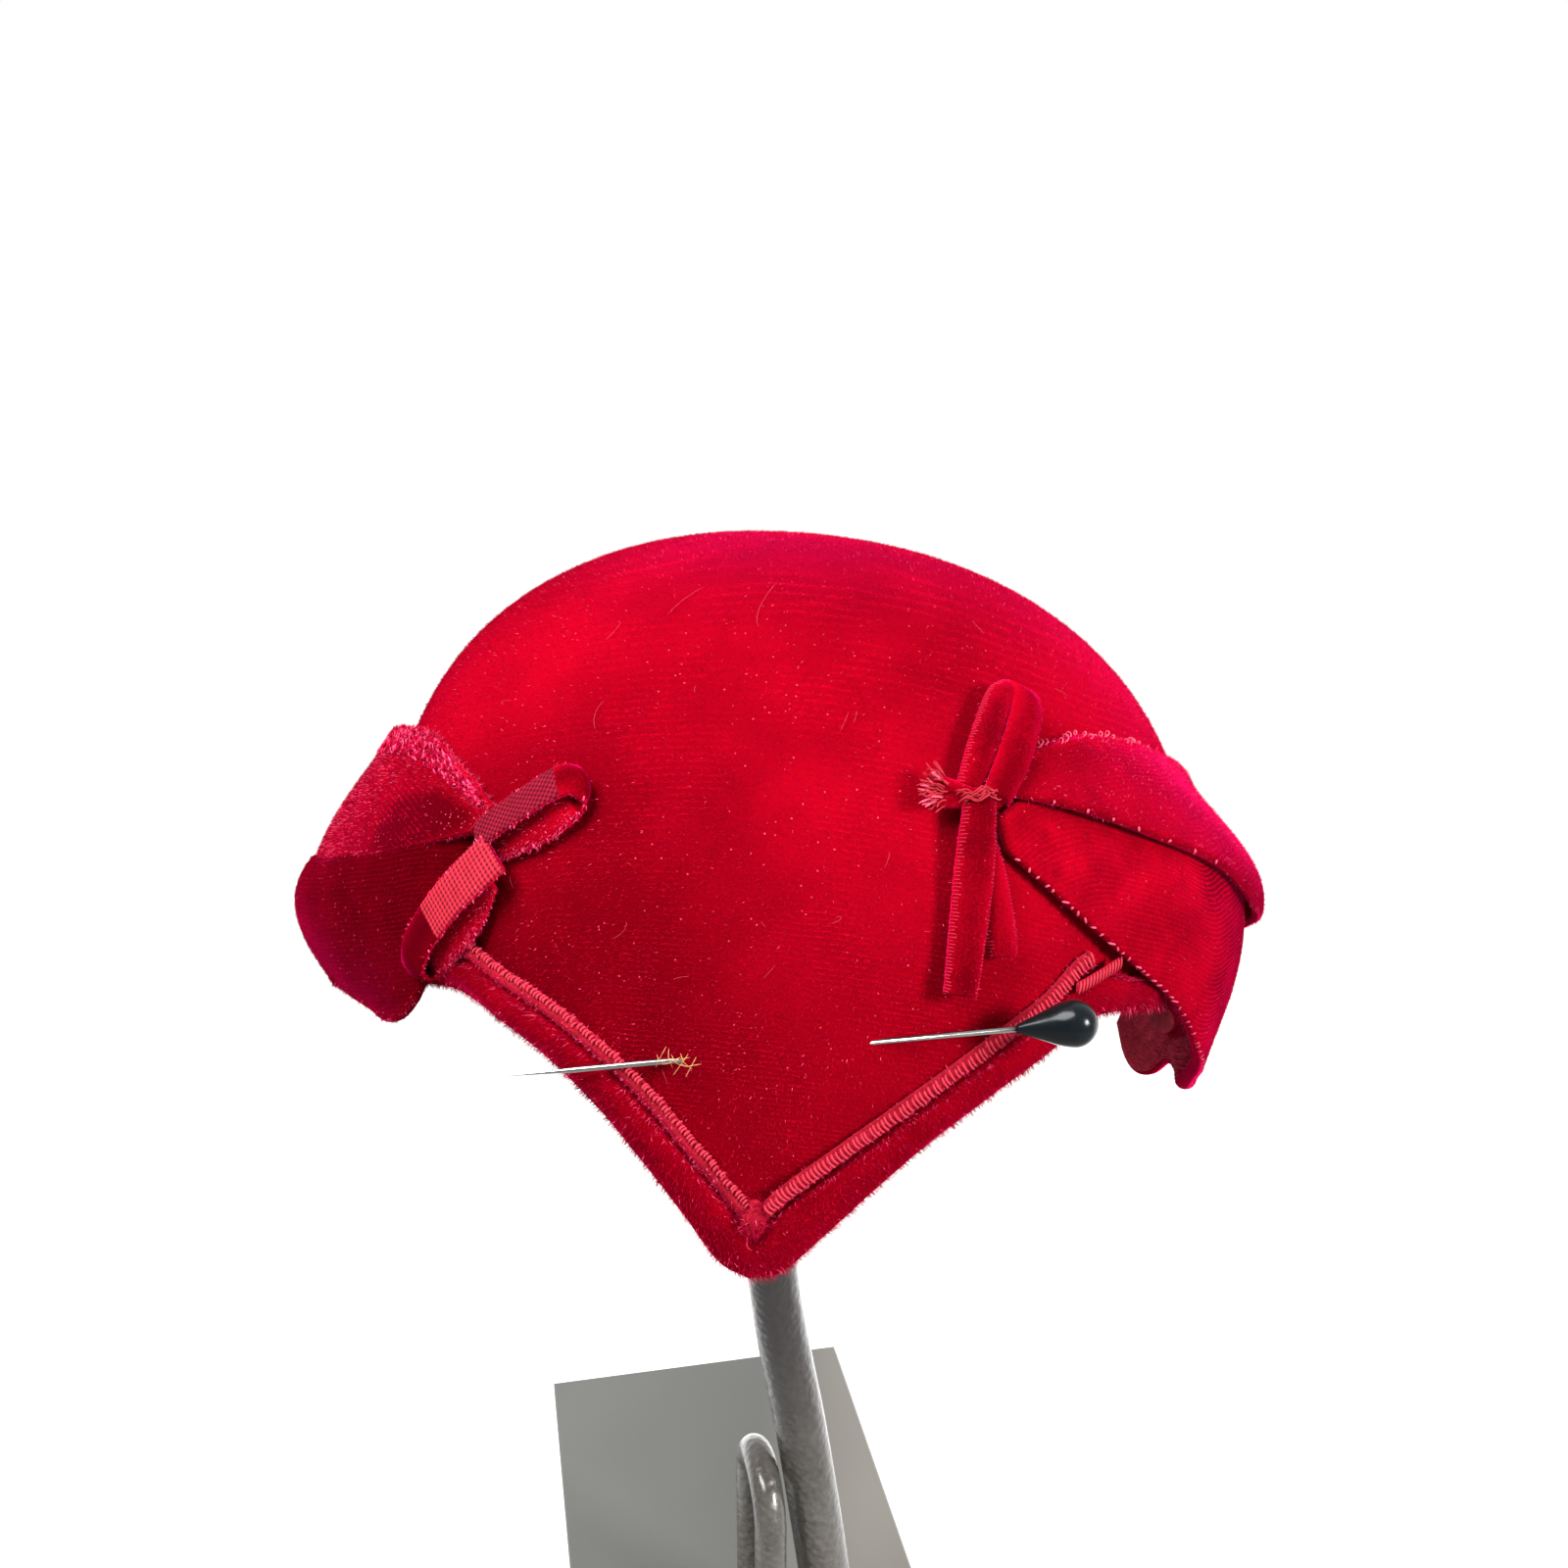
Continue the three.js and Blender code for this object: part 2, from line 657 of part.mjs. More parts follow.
// The stem's round end lies under the dome, a little to one side of its middle
function stemShape(shoulder) {
  const foot = PLATE_THICKNESS + GAP;
  const stemAcross = (height) => valueAt(STEM, "across", height, "height");
  const circle = (height, radius) => {
    const across = stemAcross(height);
    return Array.from({ length: STEM_SIDES }, (_, i) => {
      const angle = (2 * Math.PI * i) / STEM_SIDES;
      return new THREE.Vector3(
        across + radius * Math.cos(angle),
        HAT_CENTRE.y + radius * Math.sin(angle),
        height,
      );
    });
  };
  const loops = [];
  for (let k = 0; k <= STEM_STEPS; k++) {
    const f = k / STEM_STEPS;
    const height = THREE.MathUtils.lerp(foot, shoulder, f);
    loops.push(circle(height, THREE.MathUtils.lerp(STEM_FOOT_RADIUS, STEM_TOP_RADIUS, f)));
  }
  for (let k = 1; k < STEM_END_STEPS; k++) {
    const angle = ((Math.PI / 2) * k) / STEM_END_STEPS;
    const height = shoulder + STEM_TOP_RADIUS * Math.sin(angle);
    loops.push(circle(height, STEM_TOP_RADIUS * Math.cos(angle)));
  }
  const pole = (height) => new THREE.Vector3(stemAcross(height), HAT_CENTRE.y, height);
  return solidFromLoops(loops, [pole(foot), pole(shoulder + STEM_TOP_RADIUS)]);
}

function curlShape() {
  const foot = PLATE_THICKNESS + GAP;
  const middle = (CURL_FRONT_ACROSS + CURL_BACK_ACROSS) / 2;
  const spread = (CURL_FRONT_ACROSS - CURL_BACK_ACROSS) / 2;
  const spot = (side, height) =>
    new THREE.Vector3(middle + side * spread, HAT_CENTRE.y - side * CURL_HALF_SPAN, height);
  const points = [spot(-1, foot), spot(-1, CURL_STRAIGHT / 2)];
  for (let k = 0; k <= CURL_ARC_STEPS; k++) {
    const angle = (Math.PI * k) / CURL_ARC_STEPS;
    points.push(spot(-Math.cos(angle), CURL_STRAIGHT + CURL_HALF_SPAN * Math.sin(angle)));
  }
  points.push(spot(1, CURL_STRAIGHT / 2), spot(1, foot));
  const circle = new THREE.EllipseCurve(0, 0, CURL_RADIUS, CURL_RADIUS).getPoints(CURL_SIDES);
  return new THREE.ExtrudeGeometry(new THREE.Shape(circle.slice(0, -1)), {
    steps: CURL_STEPS,
    bevelEnabled: false,
    extrudePath: new THREE.CatmullRomCurve3(points),
  });
}

// Materials and the scene graph
function finish(color, roughness, metalness = 0) {
  return new THREE.MeshStandardMaterial({ color, roughness, metalness });
}

const velvet = () => finish(0xb00a24, 0.9);
const ribbon = () => finish(0xc8243c, 0.8);
const steel = () => finish(0xc4c6c8, 0.25, 1);
const blackGlass = () => finish(0x0c0e12, 0.08);
const grayPaint = () => finish(0x7c7c78, 0.5);
const darkIron = () => finish(0x5a5655, 0.35, 0.8);

function piece(group, name, geometry, material) {
  const mesh = new THREE.Mesh(geometry, material);
  mesh.name = name;
  group.add(mesh);
}

const hat = new THREE.Group();
hat.position.copy(HAT_CENTRE);
hat.rotation.y = THREE.MathUtils.degToRad(HAT_ROLL);
hat.updateMatrixWorld(true);
piece(hat, "crown", crownShape(), velvet());
piece(hat, "edge_band", bandShape(), velvet());
piece(hat, "piping_left", edgingShape(-1), ribbon());
piece(hat, "piping_right", edgingShape(1), ribbon());
piece(hat, "piping_knot", edgingKnotShape(), ribbon());
piece(hat, "piping_tail", edgingTailShape(), ribbon());
piece(hat, "wing_left_upper", wingShape(WING_LEFT_UPPER, -1, FOLD_THICKNESS), velvet());
piece(hat, "wing_left_lower", wingShape(WING_LEFT_LOWER, -1, PLEAT_THICKNESS), velvet());
piece(hat, "wing_right_upper", wingShape(WING_RIGHT_UPPER, 1, FOLD_THICKNESS), velvet());
piece(hat, "wing_right_lower", wingShape(WING_RIGHT_LOWER, 1, PLEAT_THICKNESS), velvet());
RIBBONS.forEach((row) => piece(hat, row.name, ribbonShape(row), ribbon()));
piece(hat, "hatpin_shaft", pinShaftShape(), steel());
piece(hat, "hatpin_bead", beadShape(), blackGlass());

const seatDepth = CROWN_WALL + STEM_SEAT_GAP + STEM_TOP_RADIUS;
const stemEnd = hat.localToWorld(crownSpot(STEM_SEAT.turn, STEM_SEAT.height, -seatDepth));
const stand = new THREE.Group();
piece(stand, "stand_base", plateShape(), grayPaint());
piece(stand, "stand_stem", stemShape(stemEnd.z), darkIron());
piece(stand, "stand_curl", curlShape(), darkIron());

const toque = new THREE.Group();
toque.add(hat, stand);
export default toque;
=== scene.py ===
"""A red velvet toque on a plain display stand: its cloth, ribbons, stitches, hatpin and stand.

Hat pieces are placed as in the solids: by turn, in degrees round from the front and positive to the
right, by height in millimetres above the crown's widest line, and by off, the distance they stand out
from the crown.
"""

import math

import bpy
import numpy as np
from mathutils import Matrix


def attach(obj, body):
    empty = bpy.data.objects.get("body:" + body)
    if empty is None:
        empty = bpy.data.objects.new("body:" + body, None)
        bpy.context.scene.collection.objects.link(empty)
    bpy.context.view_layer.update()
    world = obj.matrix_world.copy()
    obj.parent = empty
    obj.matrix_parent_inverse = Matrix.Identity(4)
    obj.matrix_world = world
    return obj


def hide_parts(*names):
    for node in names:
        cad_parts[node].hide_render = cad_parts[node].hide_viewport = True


bl_info = {
    "name": "Velvet toque on a stand",
    "version": (1, 0, 0),
    "blender": (4, 5, 0),
    "location": "View3D > Sidebar > Toque",
    "description": "Builds a velvet toque with bows and a hatpin on a display stand",
    "category": "Add Mesh",
}

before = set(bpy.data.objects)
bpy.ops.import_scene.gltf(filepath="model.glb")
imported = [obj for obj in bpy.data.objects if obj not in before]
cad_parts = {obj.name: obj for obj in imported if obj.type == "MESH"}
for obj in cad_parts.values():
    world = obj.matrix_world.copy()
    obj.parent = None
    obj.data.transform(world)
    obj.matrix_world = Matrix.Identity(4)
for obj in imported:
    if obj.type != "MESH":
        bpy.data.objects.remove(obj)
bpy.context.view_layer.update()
BODY = "root"
MM = 0.001


def table(columns, rows):
    """A short table as one array for each named column."""
    return dict(zip(columns.split(), np.array(rows, float).T))


# Crown
CROWN_SIDE = 87
CROWN_FRONT = 90
CROWN_BACK = 95
CROWN_RISE = 79
DOME_FULLNESS = 2.36
DOME_LEAN = -0.032
CROWN_WALL = 2.2
CROWN_TURNS = 240
CROWN_RINGS = 90
LINING_RINGS = 40
ROW_SAG = 0.0042
HAT_CENTRE = np.array([13.2, -24.5, 228])
HAT_ROLL = math.radians(5)
GAP = 0.35

# The rim and the edging line above it, on each side of the front point
RIM = table("turn rimRight rimLeft edgingRight edgingLeft", [
    [0, -32.6, -32.6, -22, -22],
    [3.5, -31, -30, -15.5, -16],
    [8, -23.2, -21.6, -8.9, -8.7],
    [13, -14.2, -13.2, -2.2, -1.2],
    [19, -5, -4.8, 4.9, 5.2],
    [26, 2.8, 1.6, 11.8, 9.8],
    [33, 8.6, 4.8, 17.5, 12],
    [40, 13.2, 6.2, 23, 13.6],
    [48, 11.4, 2.4, 19, 10.5],
    [60, 5.4, -5, 13, 3],
    [75, -9, -17, 0, -8],
    [90, -22, -26, -13, -17],
    [130, -29, -30, -20, -21],
    [180, -30, -30, -21, -21],
])

# Side pleats: heights of their top and bottom edges, and four offs from top to bottom
WING_COLUMNS = "turn top bottom offTop offUpper offLower offBottom"
WING_RIGHT_UPPER = table(WING_COLUMNS, [
    [30, 53.8, 50.8, 1.4, 1.9, 2.5, 3.1],
    [39, 55.6, 47.5, 1.4, 2.3, 3.4, 4.4],
    [50, 55.8, 41.5, 1.4, 2.8, 4.2, 5.4],
    [64, 51.6, 30.6, 1.5, 4.2, 7, 9.2],
    [75, 45.8, 17, 1.7, 5.2, 10.8, 12.4],
    [82, 41.5, 10.6, 1.8, 5.4, 11, 11.6],
    [88, 37.4, 5.6, 1.9, 5.4, 10.2, 10.4],
    [104, 28, 0, 2, 4.8, 7.6, 8.6],
    [120, 16, -4.5, 1.9, 3.8, 5.2, 6],
    [138, -1, -7, 1.3, 1.7, 2.1, 2.5],
])
WING_RIGHT_LOWER = table(WING_COLUMNS, [
    [28.5, 47, 43.4, 1.3, 1.4, 1.5, 1.6],
    [34, 49.5, 36.6, 1.3, 1.5, 1.8, 2],
    [41, 50, 27.6, 1.4, 1.9, 2.4, 2.5],
    [48, 47, 18.9, 1.6, 2.8, 3.6, 3.3],
    [54, 43, 11, 2.8, 4.9, 5.6, 4.6],
    [64, 34, -6, 5.8, 8, 7.8, 6],
    [75, 23, -20.2, 8.6, 9, 7.2, 3.8],
    [82, 18, -27.8, 7.8, 8.6, 7.2, 4],
    [88, 14.2, -29.6, 7.2, 8.4, 7.4, 4.6],
    [94, 10.6, -33, 6.2, 8.2, 7.4, 4.4],
    [99, 7.6, -41, 5.2, 7.8, 7.8, 4.4],
    [104, 5.2, -45.5, 4.6, 7.2, 7.2, 4.2],
    [108, 3.4, -44.5, 4.2, 6.8, 6.8, 4],
    [111, 2, -39, 4, 6.4, 6.4, 3.8],
])
WING_LEFT_UPPER = table(WING_COLUMNS, [
    [39.5, 38.2, 35.2, 1.4, 1.8, 2.2, 2.8],
    [46, 40.6, 30.4, 1.6, 2.8, 3.8, 4.4],
    [59.5, 42.4, 20, 2, 4.2, 6.6, 8.6],
    [70, 38.8, 12, 2.6, 5.4, 9, 12],
    [75, 36.2, 9.5, 2.8, 5.8, 9.8, 13.2],
    [88, 29, 2, 2.6, 5.4, 8.8, 11.4],
    [104, 21, -4, 2.4, 4.8, 7.2, 8.8],
    [120, 12, -8, 2, 3.8, 5.4, 6.2],
    [138, -4, -9.5, 1.3, 1.7, 2.1, 2.5],
])
WING_LEFT_LOWER = table(WING_COLUMNS, [
    [41.5, 29.6, 23, 1.4, 1.3, 1.3, 1.3],
    [44, 28.4, 18, 2.4, 2.2, 2, 2],
    [46, 27.6, 5, 3.6, 3, 2.8, 2.6],
    [49, 25.4, -4, 5, 4.6, 4.4, 3.8],
    [54, 21.6, -9.4, 6.6, 7, 6.4, 4.6],
    [58, 18.6, -10, 8, 9.4, 8.4, 5.6],
    [62, 15.5, -11, 9.8, 12, 11, 7],
    [69, 10.2, -14, 12.4, 15.8, 14, 9],
    [75, 6.9, -18, 14.6, 17.7, 15.2, 10.4],
    [82, 2.6, -19.5, 14.2, 17, 14.6, 9.8],
    [90, -1.8, -22.5, 12.4, 14, 12.2, 8.2],
    [98, -4.5, -25, 10.2, 11, 9.6, 6.6],
    [107, -7.6, -25.5, 8.4, 8.6, 7.6, 5.2],
    [114, -9.4, -23, 7, 6.8, 6, 4.4],
    [119, -10.6, -18.5, 5.6, 5.2, 4.8, 4],
])
PLEAT_THICKNESS = 1.6
PLAIN_EDGE = table("turn thick", [[0, 1.6], [180, 1.6]])
FOLDED_EDGE = table("turn thick", [[0, 1.8], [180, 1.8]])
ROLLED_EDGE = table("turn thick", [[28, 1.6], [58, 2], [70, 3.2], [80, 4], [86, 4], [94, 2.4], [111, 1.6]])
FOLD_SHARPNESS = 6
CREASE_CLOSE = 2.3
WING_STEP = 1.2
WING_SPOTS = 34
EDGE_STEPS = 5
EDGE_PILE = 0.9

# Edge band and piping
BAND_BULGE = 2.5
BAND_EDGE = 1.2
BAND_OVERHANG = 0.8
BAND_SPOTS = 13
BAND_TURNS = 480
PIPING_HALF = 1.5
PIPING_THICKNESS = 1.7
PIPING_START = 2
ARM_START = 1
PIPING_END = 40
PIPING_STEPS = 260
PIPING_SPOTS = 9
KNOT_HEIGHT = -21.6
KNOT_TURN = 1.5
TAIL_START = 36.6
TAIL_END = 43.8
TAIL_HEIGHT = 19.4
TAIL_SLOPE = 0.3

# Bows: each ribbon leaves its knot along a heading, in degrees from straight up
RIBBON_THICKNESS = 1
LEFT_KNOT = (-38.4, 32.6)
RIGHT_KNOT = (25.5, 49.8)
STUB_HEADING = -72

# Hatpin
PIN_ENTRY = (8.8, 12.2)
PIN_EXIT = (-8.5, 6.7)
PIN_RADIUS = 0.5
PIN_POINT = 12
PIN_HEAD_REACH = 28.4
PIN_TIP_REACH = 58
# The last row of the bead only sets the slope where it is widest
BEAD = table("along radius", [
    [0, 0.7],
    [1.5, 1.3],
    [4, 2.3],
    [7, 3.5],
    [9.4, 4],
    [11.4, 4],
])
BEAD_WIDEST = 9.4
BEAD_RADIUS = 4

# Stand
PLATE_TOP = 4
STEM_FOOT_RADIUS = 6.9
STEM_TOP_RADIUS = 5.4
STEM_END = 298.6
STEM_RINGS = 170
ROD_SIDES = 48
STEM = table("height across", [
    [0, 27],
    [45, 21.5],
    [83, 16.2],
    [122, 9.9],
    [160, 6.6],
    [210, 5.4],
    [300, 5.4],
])
CURL_RADIUS = 4
CURL_HALF_SPAN = 11
CURL_STRAIGHT = 62
CURL_FRONT_ACROSS = 9
CURL_BACK_ACROSS = 2.5

# Shares of the four tones of fibre
PILE_SHARES = (0.25, 0.45, 0.27, 0.03)
FUZZ_SHARES = (0.2, 0.3, 0.3, 0.2)

# Patches of painted light and shade on the crown's pile, lighter at the upper left and darker at the top and
# lower left: turn, height, reach and level
PAINTED_LIGHT_PATCHES = (
    (-44, 62, 18, 0.4),
    (-62, 50, 18, 0.4),
    (0, 79, 30, -0.6),
    (34, 66, 24, -0.35),
    (-24, 46, 20, -0.4),
    (-6, 60, 18, -0.15),
    (-18, 20, 22, -0.45),
    (-30, 12, 16, -0.4),
    (0, -16, 18, -0.25),
    (12, 46, 18, 0.1),
    (16, 14, 20, -0.15),
)

# For each wing: its pleat, side, lower edge, how far its top edge is lifted into the crease above it, cloth,
# pile, how far standing pile and painted sheen reach in from its top and low edges, and its flat cut.
# The cloth's tone is painted light and shade on one velvet: darkest on the left lower pleat, which faces away
# from the light, and lightest on the left upper and right lower pleats; the left upper pleat's many specks
# are painted glints as well as lint.
WINGS = (
    (
        "wing_left_upper", WING_LEFT_UPPER, -1, FOLDED_EDGE, 0,
        {"tone": 1.1, "rows": 0.5, "cover": 0.2, "specks": 0.9, "sheen": 1.0, "core": 0.5, "opening": 1},
        {"length": 0.0007, "density": 7, "width": 0.11, "edge": 0.9, "shares": (0.15, 0.42, 0.3, 0.13)},
        (2.2, 0), {"flat": (0.032, 0.17), "area": 0.004},
    ),
    (
        "wing_left_lower", WING_LEFT_LOWER, -1, PLAIN_EDGE, CREASE_CLOSE,
        {"tone": 0.42, "rows": 0.7, "cover": 0.3, "specks": 0.3, "sheen": 0.32, "core": 0.6},
        {"length": 0.0007, "density": 3, "edge": 0.6, "shares": (0.85, 0.12, 0.02, 0.01)},
        (0, EDGE_PILE), {"flat": (0.033, 0.147), "area": 0.0034},
    ),
    (
        "wing_right_upper", WING_RIGHT_UPPER, 1, FOLDED_EDGE, 0,
        {"tone": 0.84, "rows": 0.36, "cover": 0.3, "specks": 0.12, "sheen": 1.0, "core": 0.7, "opening": 5},
        {"length": 0.0007, "density": 4, "edge": 0.4, "shares": (0.06, 0.46, 0.4, 0.08)},
        (EDGE_PILE, 0), {"flat": (0.033, 0.182), "area": 0.0041},
    ),
    (
        "wing_right_lower", WING_RIGHT_LOWER, 1, ROLLED_EDGE, 0,
        {"tone": 1.15, "rows": 0.34, "cover": 0.34, "specks": 0.12, "sheen": 0.9, "core": 0.5, "opening": 11},
        {"length": 0.0005, "density": 2.4, "edge": 0.5, "shares": (0.1, 0.5, 0.36, 0.04)},
        (EDGE_PILE, 0), {"flat": (0.052, 0.159), "area": 0.0057},
    ),
)
# The turn where the right wing begins to bend round, over how many degrees it does, and how much painted
# shade it takes as it turns away from the light
BEND_START = 56
BEND_SPAN = 9
BEND_PAINTED_SHADE = 0.45
# Painted light on the tip of the right lower pleat, by turn and by place from its top edge to its bottom edge
TIP_START = 88
TIP_SPAN = 8
TIP_PLACE = 0.7
TIP_REACH = 0.2
TIP_PAINTED_LIGHT = 1.4
# Painted shade in the middle of the left upper pleat, by turn, by place and by its reach above and below, and
# painted light over the rest of that pleat's outer face
HOLLOW_TURN = 49
HOLLOW_SPAN = 10
HOLLOW_PLACE = 0.64
HOLLOW_ABOVE = 0.32
HOLLOW_BELOW = 0.8
HOLLOW_PAINTED_SHADE = 1.5
UPPER_PAINTED_LIGHT = 0.25
# The tufts along the left upper pleat's cut edge
TUFTS = 1100
TUFT_START = 41
TUFT_END = 80

# For each ribbon: its knot, heading, kind of wrong side, the share of its length after which that shows,
# and its path
RIBBON_COLUMNS = "along lift shift lean width bulge"
RIBBONS = (
    ("bow_left_upper_loop", LEFT_KNOT, 41, "shaded", 0.545, [
        [2, 1.3, 1.4, 0, 4.8, 0.3],
        [10, 1.5, 2.2, 0, 7.4, 1.2],
        [17, 1.8, 2.2, 0, 8, 1.2],
        [21.4, 2.4, 1.5, 0, 7.8, 0],
        [22, 3.4, 0.8, 0, 7.4, -2.4],
        [20.4, 4.4, -0.6, 0.2, 6.6, -0.5],
        [10, 4.4, -1.1, 0.3, 6.2, 0.1],
        [0, 3.6, -1.8, 0.2, 5.6, 0],
    ]),
    ("bow_left_lower_loop", LEFT_KNOT, -149.5, "woven", 0.64, [
        [3, 1.3, -4.6, 0, 5, 0.4],
        [10, 1.8, -6, 0, 7.4, 0.8],
        [20, 2.4, -5.2, 0, 8.6, 0.9],
        [26.2, 3, -3.6, 0, 10, -0.4],
        [27, 4.4, -2.9, 0, 10, -3.2],
        [26, 5.6, -2.6, 0, 8.4, -1],
        [20, 5.8, -2.4, 0, 7.4, 0.1],
        [10, 5.4, -2.9, 0, 7.4, 0.1],
        [-2.4, 4.2, -3.8, 0, 8, 0],
    ]),
    ("bow_right_loop", RIGHT_KNOT, 36, "velvet", 1, [
        [1, 2.4, -1.9, 0, 5, 1],
        [9, 2.6, -2.4, 0, 5.8, 1.6],
        [18, 2.6, -2.4, 0, 6, 1.6],
        [23.8, 2.9, -1.7, 0, 6, 1.2],
        [26.4, 3.7, 0.6, 0, 6, 0],
        [22, 4.5, 2.2, 0.15, 5.6, -1.6],
        [10, 4.6, 2.5, 0.2, 5.6, -1.7],
        [1, 4.4, 2.2, 0.15, 4.8, -1.4],
    ]),
    ("bow_right_long_tail", RIGHT_KNOT, -169, "tail", 1, [
        [0.5, 4, 0.4, -0.1, 5.4, 1.6],
        [10, 3.4, 0.9, -0.2, 6.4, 1.8],
        [21, 3, 1.2, -0.25, 6.2, 1.8],
        [34, 3.6, 1.4, -0.2, 5.8, 1.5],
    ]),
    ("bow_right_short_tail", RIGHT_KNOT, 178, "tail", 1, [
        [2, 2.4, 0.6, 0, 3, 1],
        [10, 2, 0.2, -0.1, 5.2, 1.5],
        [18, 1.8, -0.2, -0.15, 5.8, 1.7],
        [27, 2.2, -0.4, -0.15, 5.6, 1.4],
    ]),
    ("bow_right_stub", RIGHT_KNOT, STUB_HEADING, "tail", 1, [
        [0, 3.4, 0, 0, 3.4, 0.8],
        [5, 2.6, 0, 0, 5, 0.6],
        [8, 2.8, 0, 0, 6, 0.4],
    ]),
)
RIBBON_STEP = 0.5
RIBBON_SPOTS = 13
# The share of a loop's length that is its lower layer; the painted shade over each ribbon, against the
# painted sheen on its edges; and the painted light on the loops' lower layers and on the short tail, which
# lie in shadow
LOWER_LAYER = 0.42
RIBBON_PAINTED_SHADE = 0.7
LOOP_PAINTED_LIGHT = 0.8
SHORT_TAIL_PAINTED_LIGHT = 0.25
# Tufts in each millimetre of a loop, and the distance between the ribs of a ribbon's edge
RIM_DENSITY = 14
SELVAGE_PITCH = 0.62

# Stage, in metres
FLOOR_REACH = 4.0
TOP_LIGHT_PLACE = (-0.4, -0.36, 1.1)
TOP_LIGHT_SIZE = 0.6
RIGHT_LIGHT_PLACE = (0.8, -0.5, 0.55)
RIGHT_LIGHT_SIZE = 0.24


# Properties
def tint(name, description, colour):
    """A colour property."""
    return bpy.props.FloatVectorProperty(
        name=name, description=description, subtype="COLOR", default=colour, min=0, max=1,
    )


def amount(name, description, value, low, high, **kind):
    """A number property."""
    return bpy.props.FloatProperty(
        name=name, description=description, default=value, min=low, max=high, **kind,
    )


class VelvetLook(bpy.types.PropertyGroup):
    """Colours and pile of the velvet cloth."""

    lit: tint("Lit pile", "Velvet where the pile stands to the light", (0.22, 0.0003, 0.005))
    deep: tint("Deep pile", "Velvet where the pile leans away from the light", (0.1, 0.0001, 0.0024))
    sheen: tint("Sheen", "Tint of the pile's glow at grazing angles", (1, 0.006, 0.14))
    glint: tint("Glint", "Single fibres that catch the light", (0.7, 0.07, 0.17))
    # The light tone's tint also colours the painted sheen near the cloth's edges
    fluff_and_sheen: tint("Light pile", "Tint of the lighter fibres", (0.45, 0.01, 0.05))
    # Where a pleat has many specks, they also stand for painted glints
    specks: tint("Specks", "Lint and bare weave in the velvet", (0.4, 0.04, 0.065))
    hairs: tint("Hairs", "Stray hairs on the crown", (0.26, 0.03, 0.05))
    lining: tint("Lining", "Suede-like wrong side of the cloth", (0.6, 0.04, 0.075))
    pile: amount(
        "Pile length", "Length of the fibres on the crown", 0.0007, 0.0001, 0.003, unit="LENGTH",
    )
    edge_pile: amount(
        "Edge pile length", "Length of the fibres on the edge band", 0.001, 0.0001, 0.004, unit="LENGTH",
    )


class RibbonLook(bpy.types.PropertyGroup):
    """Colours of the ribbons, piping and sewing threads."""

    woven: tint("Woven back", "Wrong side of the lower left loop", (0.5, 0.022, 0.042))
    shaded: tint("Shaded woven back", "Wrong side of the upper left loop", (0.2, 0.006, 0.02))
    edging: tint("Piping velvet", "Pile of the narrow ribbon above the edge band", (0.3, 0.009, 0.021))
    piping: tint("Piping", "Narrow ribbon above the edge band", (0.38, 0.02, 0.038))
    thread: tint("Sewing thread", "Stitches and selvage threads", (0.25, 0.01, 0.019))
    pale: tint("Pale thread", "Fold stitches and the bleached ends of frayed threads", (0.55, 0.06, 0.11))
    selvage: tint("Ribbon edge", "Ribbed edges of the velvet ribbons", (0.32, 0.009, 0.032))
    fray: tint("Frayed thread", "Loose threads where the pin comes out", (0.48, 0.27, 0.11))


class StandLook(bpy.types.PropertyGroup):
    """Colours of the stand and the hatpin."""

    plate: tint("Plate", "Satin paint of the plate", (0.07, 0.07, 0.066))
    # Painted light: the plate is blended towards this paler colour towards its right side, away from the
    # hat's shadow
    painted_light_right: tint("Plate painted light", "Paler paint towards the plate's right side", (0.18, 0.168, 0.148))
    iron: tint("Stem", "Hammered paint of the stem and the rod", (0.013, 0.01, 0.0095))
    # Painted light: the stem and rod are blended towards this paler colour low down, and stay dark up under
    # the hat
    wear_and_painted_light: tint("Stem painted light low", "Paler paint low on the stem and the rod", (0.16, 0.15, 0.13))
    steel: tint("Pin", "Steel of the hatpin", (0.24, 0.23, 0.22))
    bead: tint("Bead", "Black bead of the hatpin", (0.003, 0.0045, 0.0055))


class StageLook(bpy.types.PropertyGroup):
    """Camera and light."""

    place: bpy.props.FloatVectorProperty(
        name="Camera place", description="Where the camera stands",
        subtype="TRANSLATION", unit="LENGTH", default=(0.02871, -0.34716, 0.364),
    )
    turn: bpy.props.FloatVectorProperty(
        name="Camera turn", description="How the camera is turned",
        subtype="EULER", default=(math.radians(71.4), 0, math.radians(3)),
    )
    lens: amount("Lens", "Focal length in millimetres on a 36 mm wide sensor", 36, 10, 200)
    room_light: amount("Room light", "Strength of the even light from all round", 0.42, 0, 10)
    back_light: amount(
        "Back light", "Strength added low behind the object, as from a lit backdrop", 1.0, 0, 10,
    )
    floor_light: amount("Floor light", "Strength of the light from the floor", 0.2, 0, 10)
    top_power: amount(
        "Top light", "Power of the large soft light overhead", 35, 0, 100, subtype="POWER",
    )
    right_power: amount(
        "Right light", "Power of the smaller light to the right", 21, 0, 100, subtype="POWER",
    )


# Surface of the crown
def value_at(rows, column, place, key="turn"):
    """A smooth curve through a table's rows, read at many places."""
    x = rows[key]
    y = rows[column]
    at = np.clip(place, x[0], x[-1])
    i = np.clip(np.searchsorted(x, at, side="right") - 1, 0, len(x) - 2)
    slope = np.empty_like(y)
    slope[1:-1] = (y[2:] - y[:-2]) / (x[2:] - x[:-2])
    slope[0] = (y[1] - y[0]) / (x[1] - x[0])
    slope[-1] = (y[-1] - y[-2]) / (x[-1] - x[-2])
    step = x[i + 1] - x[i]
    f = (at - x[i]) / step
    g = 1 - f
    ends = y[i] * g * g * (1 + 2 * f) + y[i + 1] * f * f * (3 - 2 * f)
    return ends + step * f * g * (slope[i] * g - slope[i + 1] * f)


def unit(vectors):
    """Vectors of length one."""
    return vectors / np.maximum(np.linalg.norm(vectors, axis=-1, keepdims=True), 1e-12)


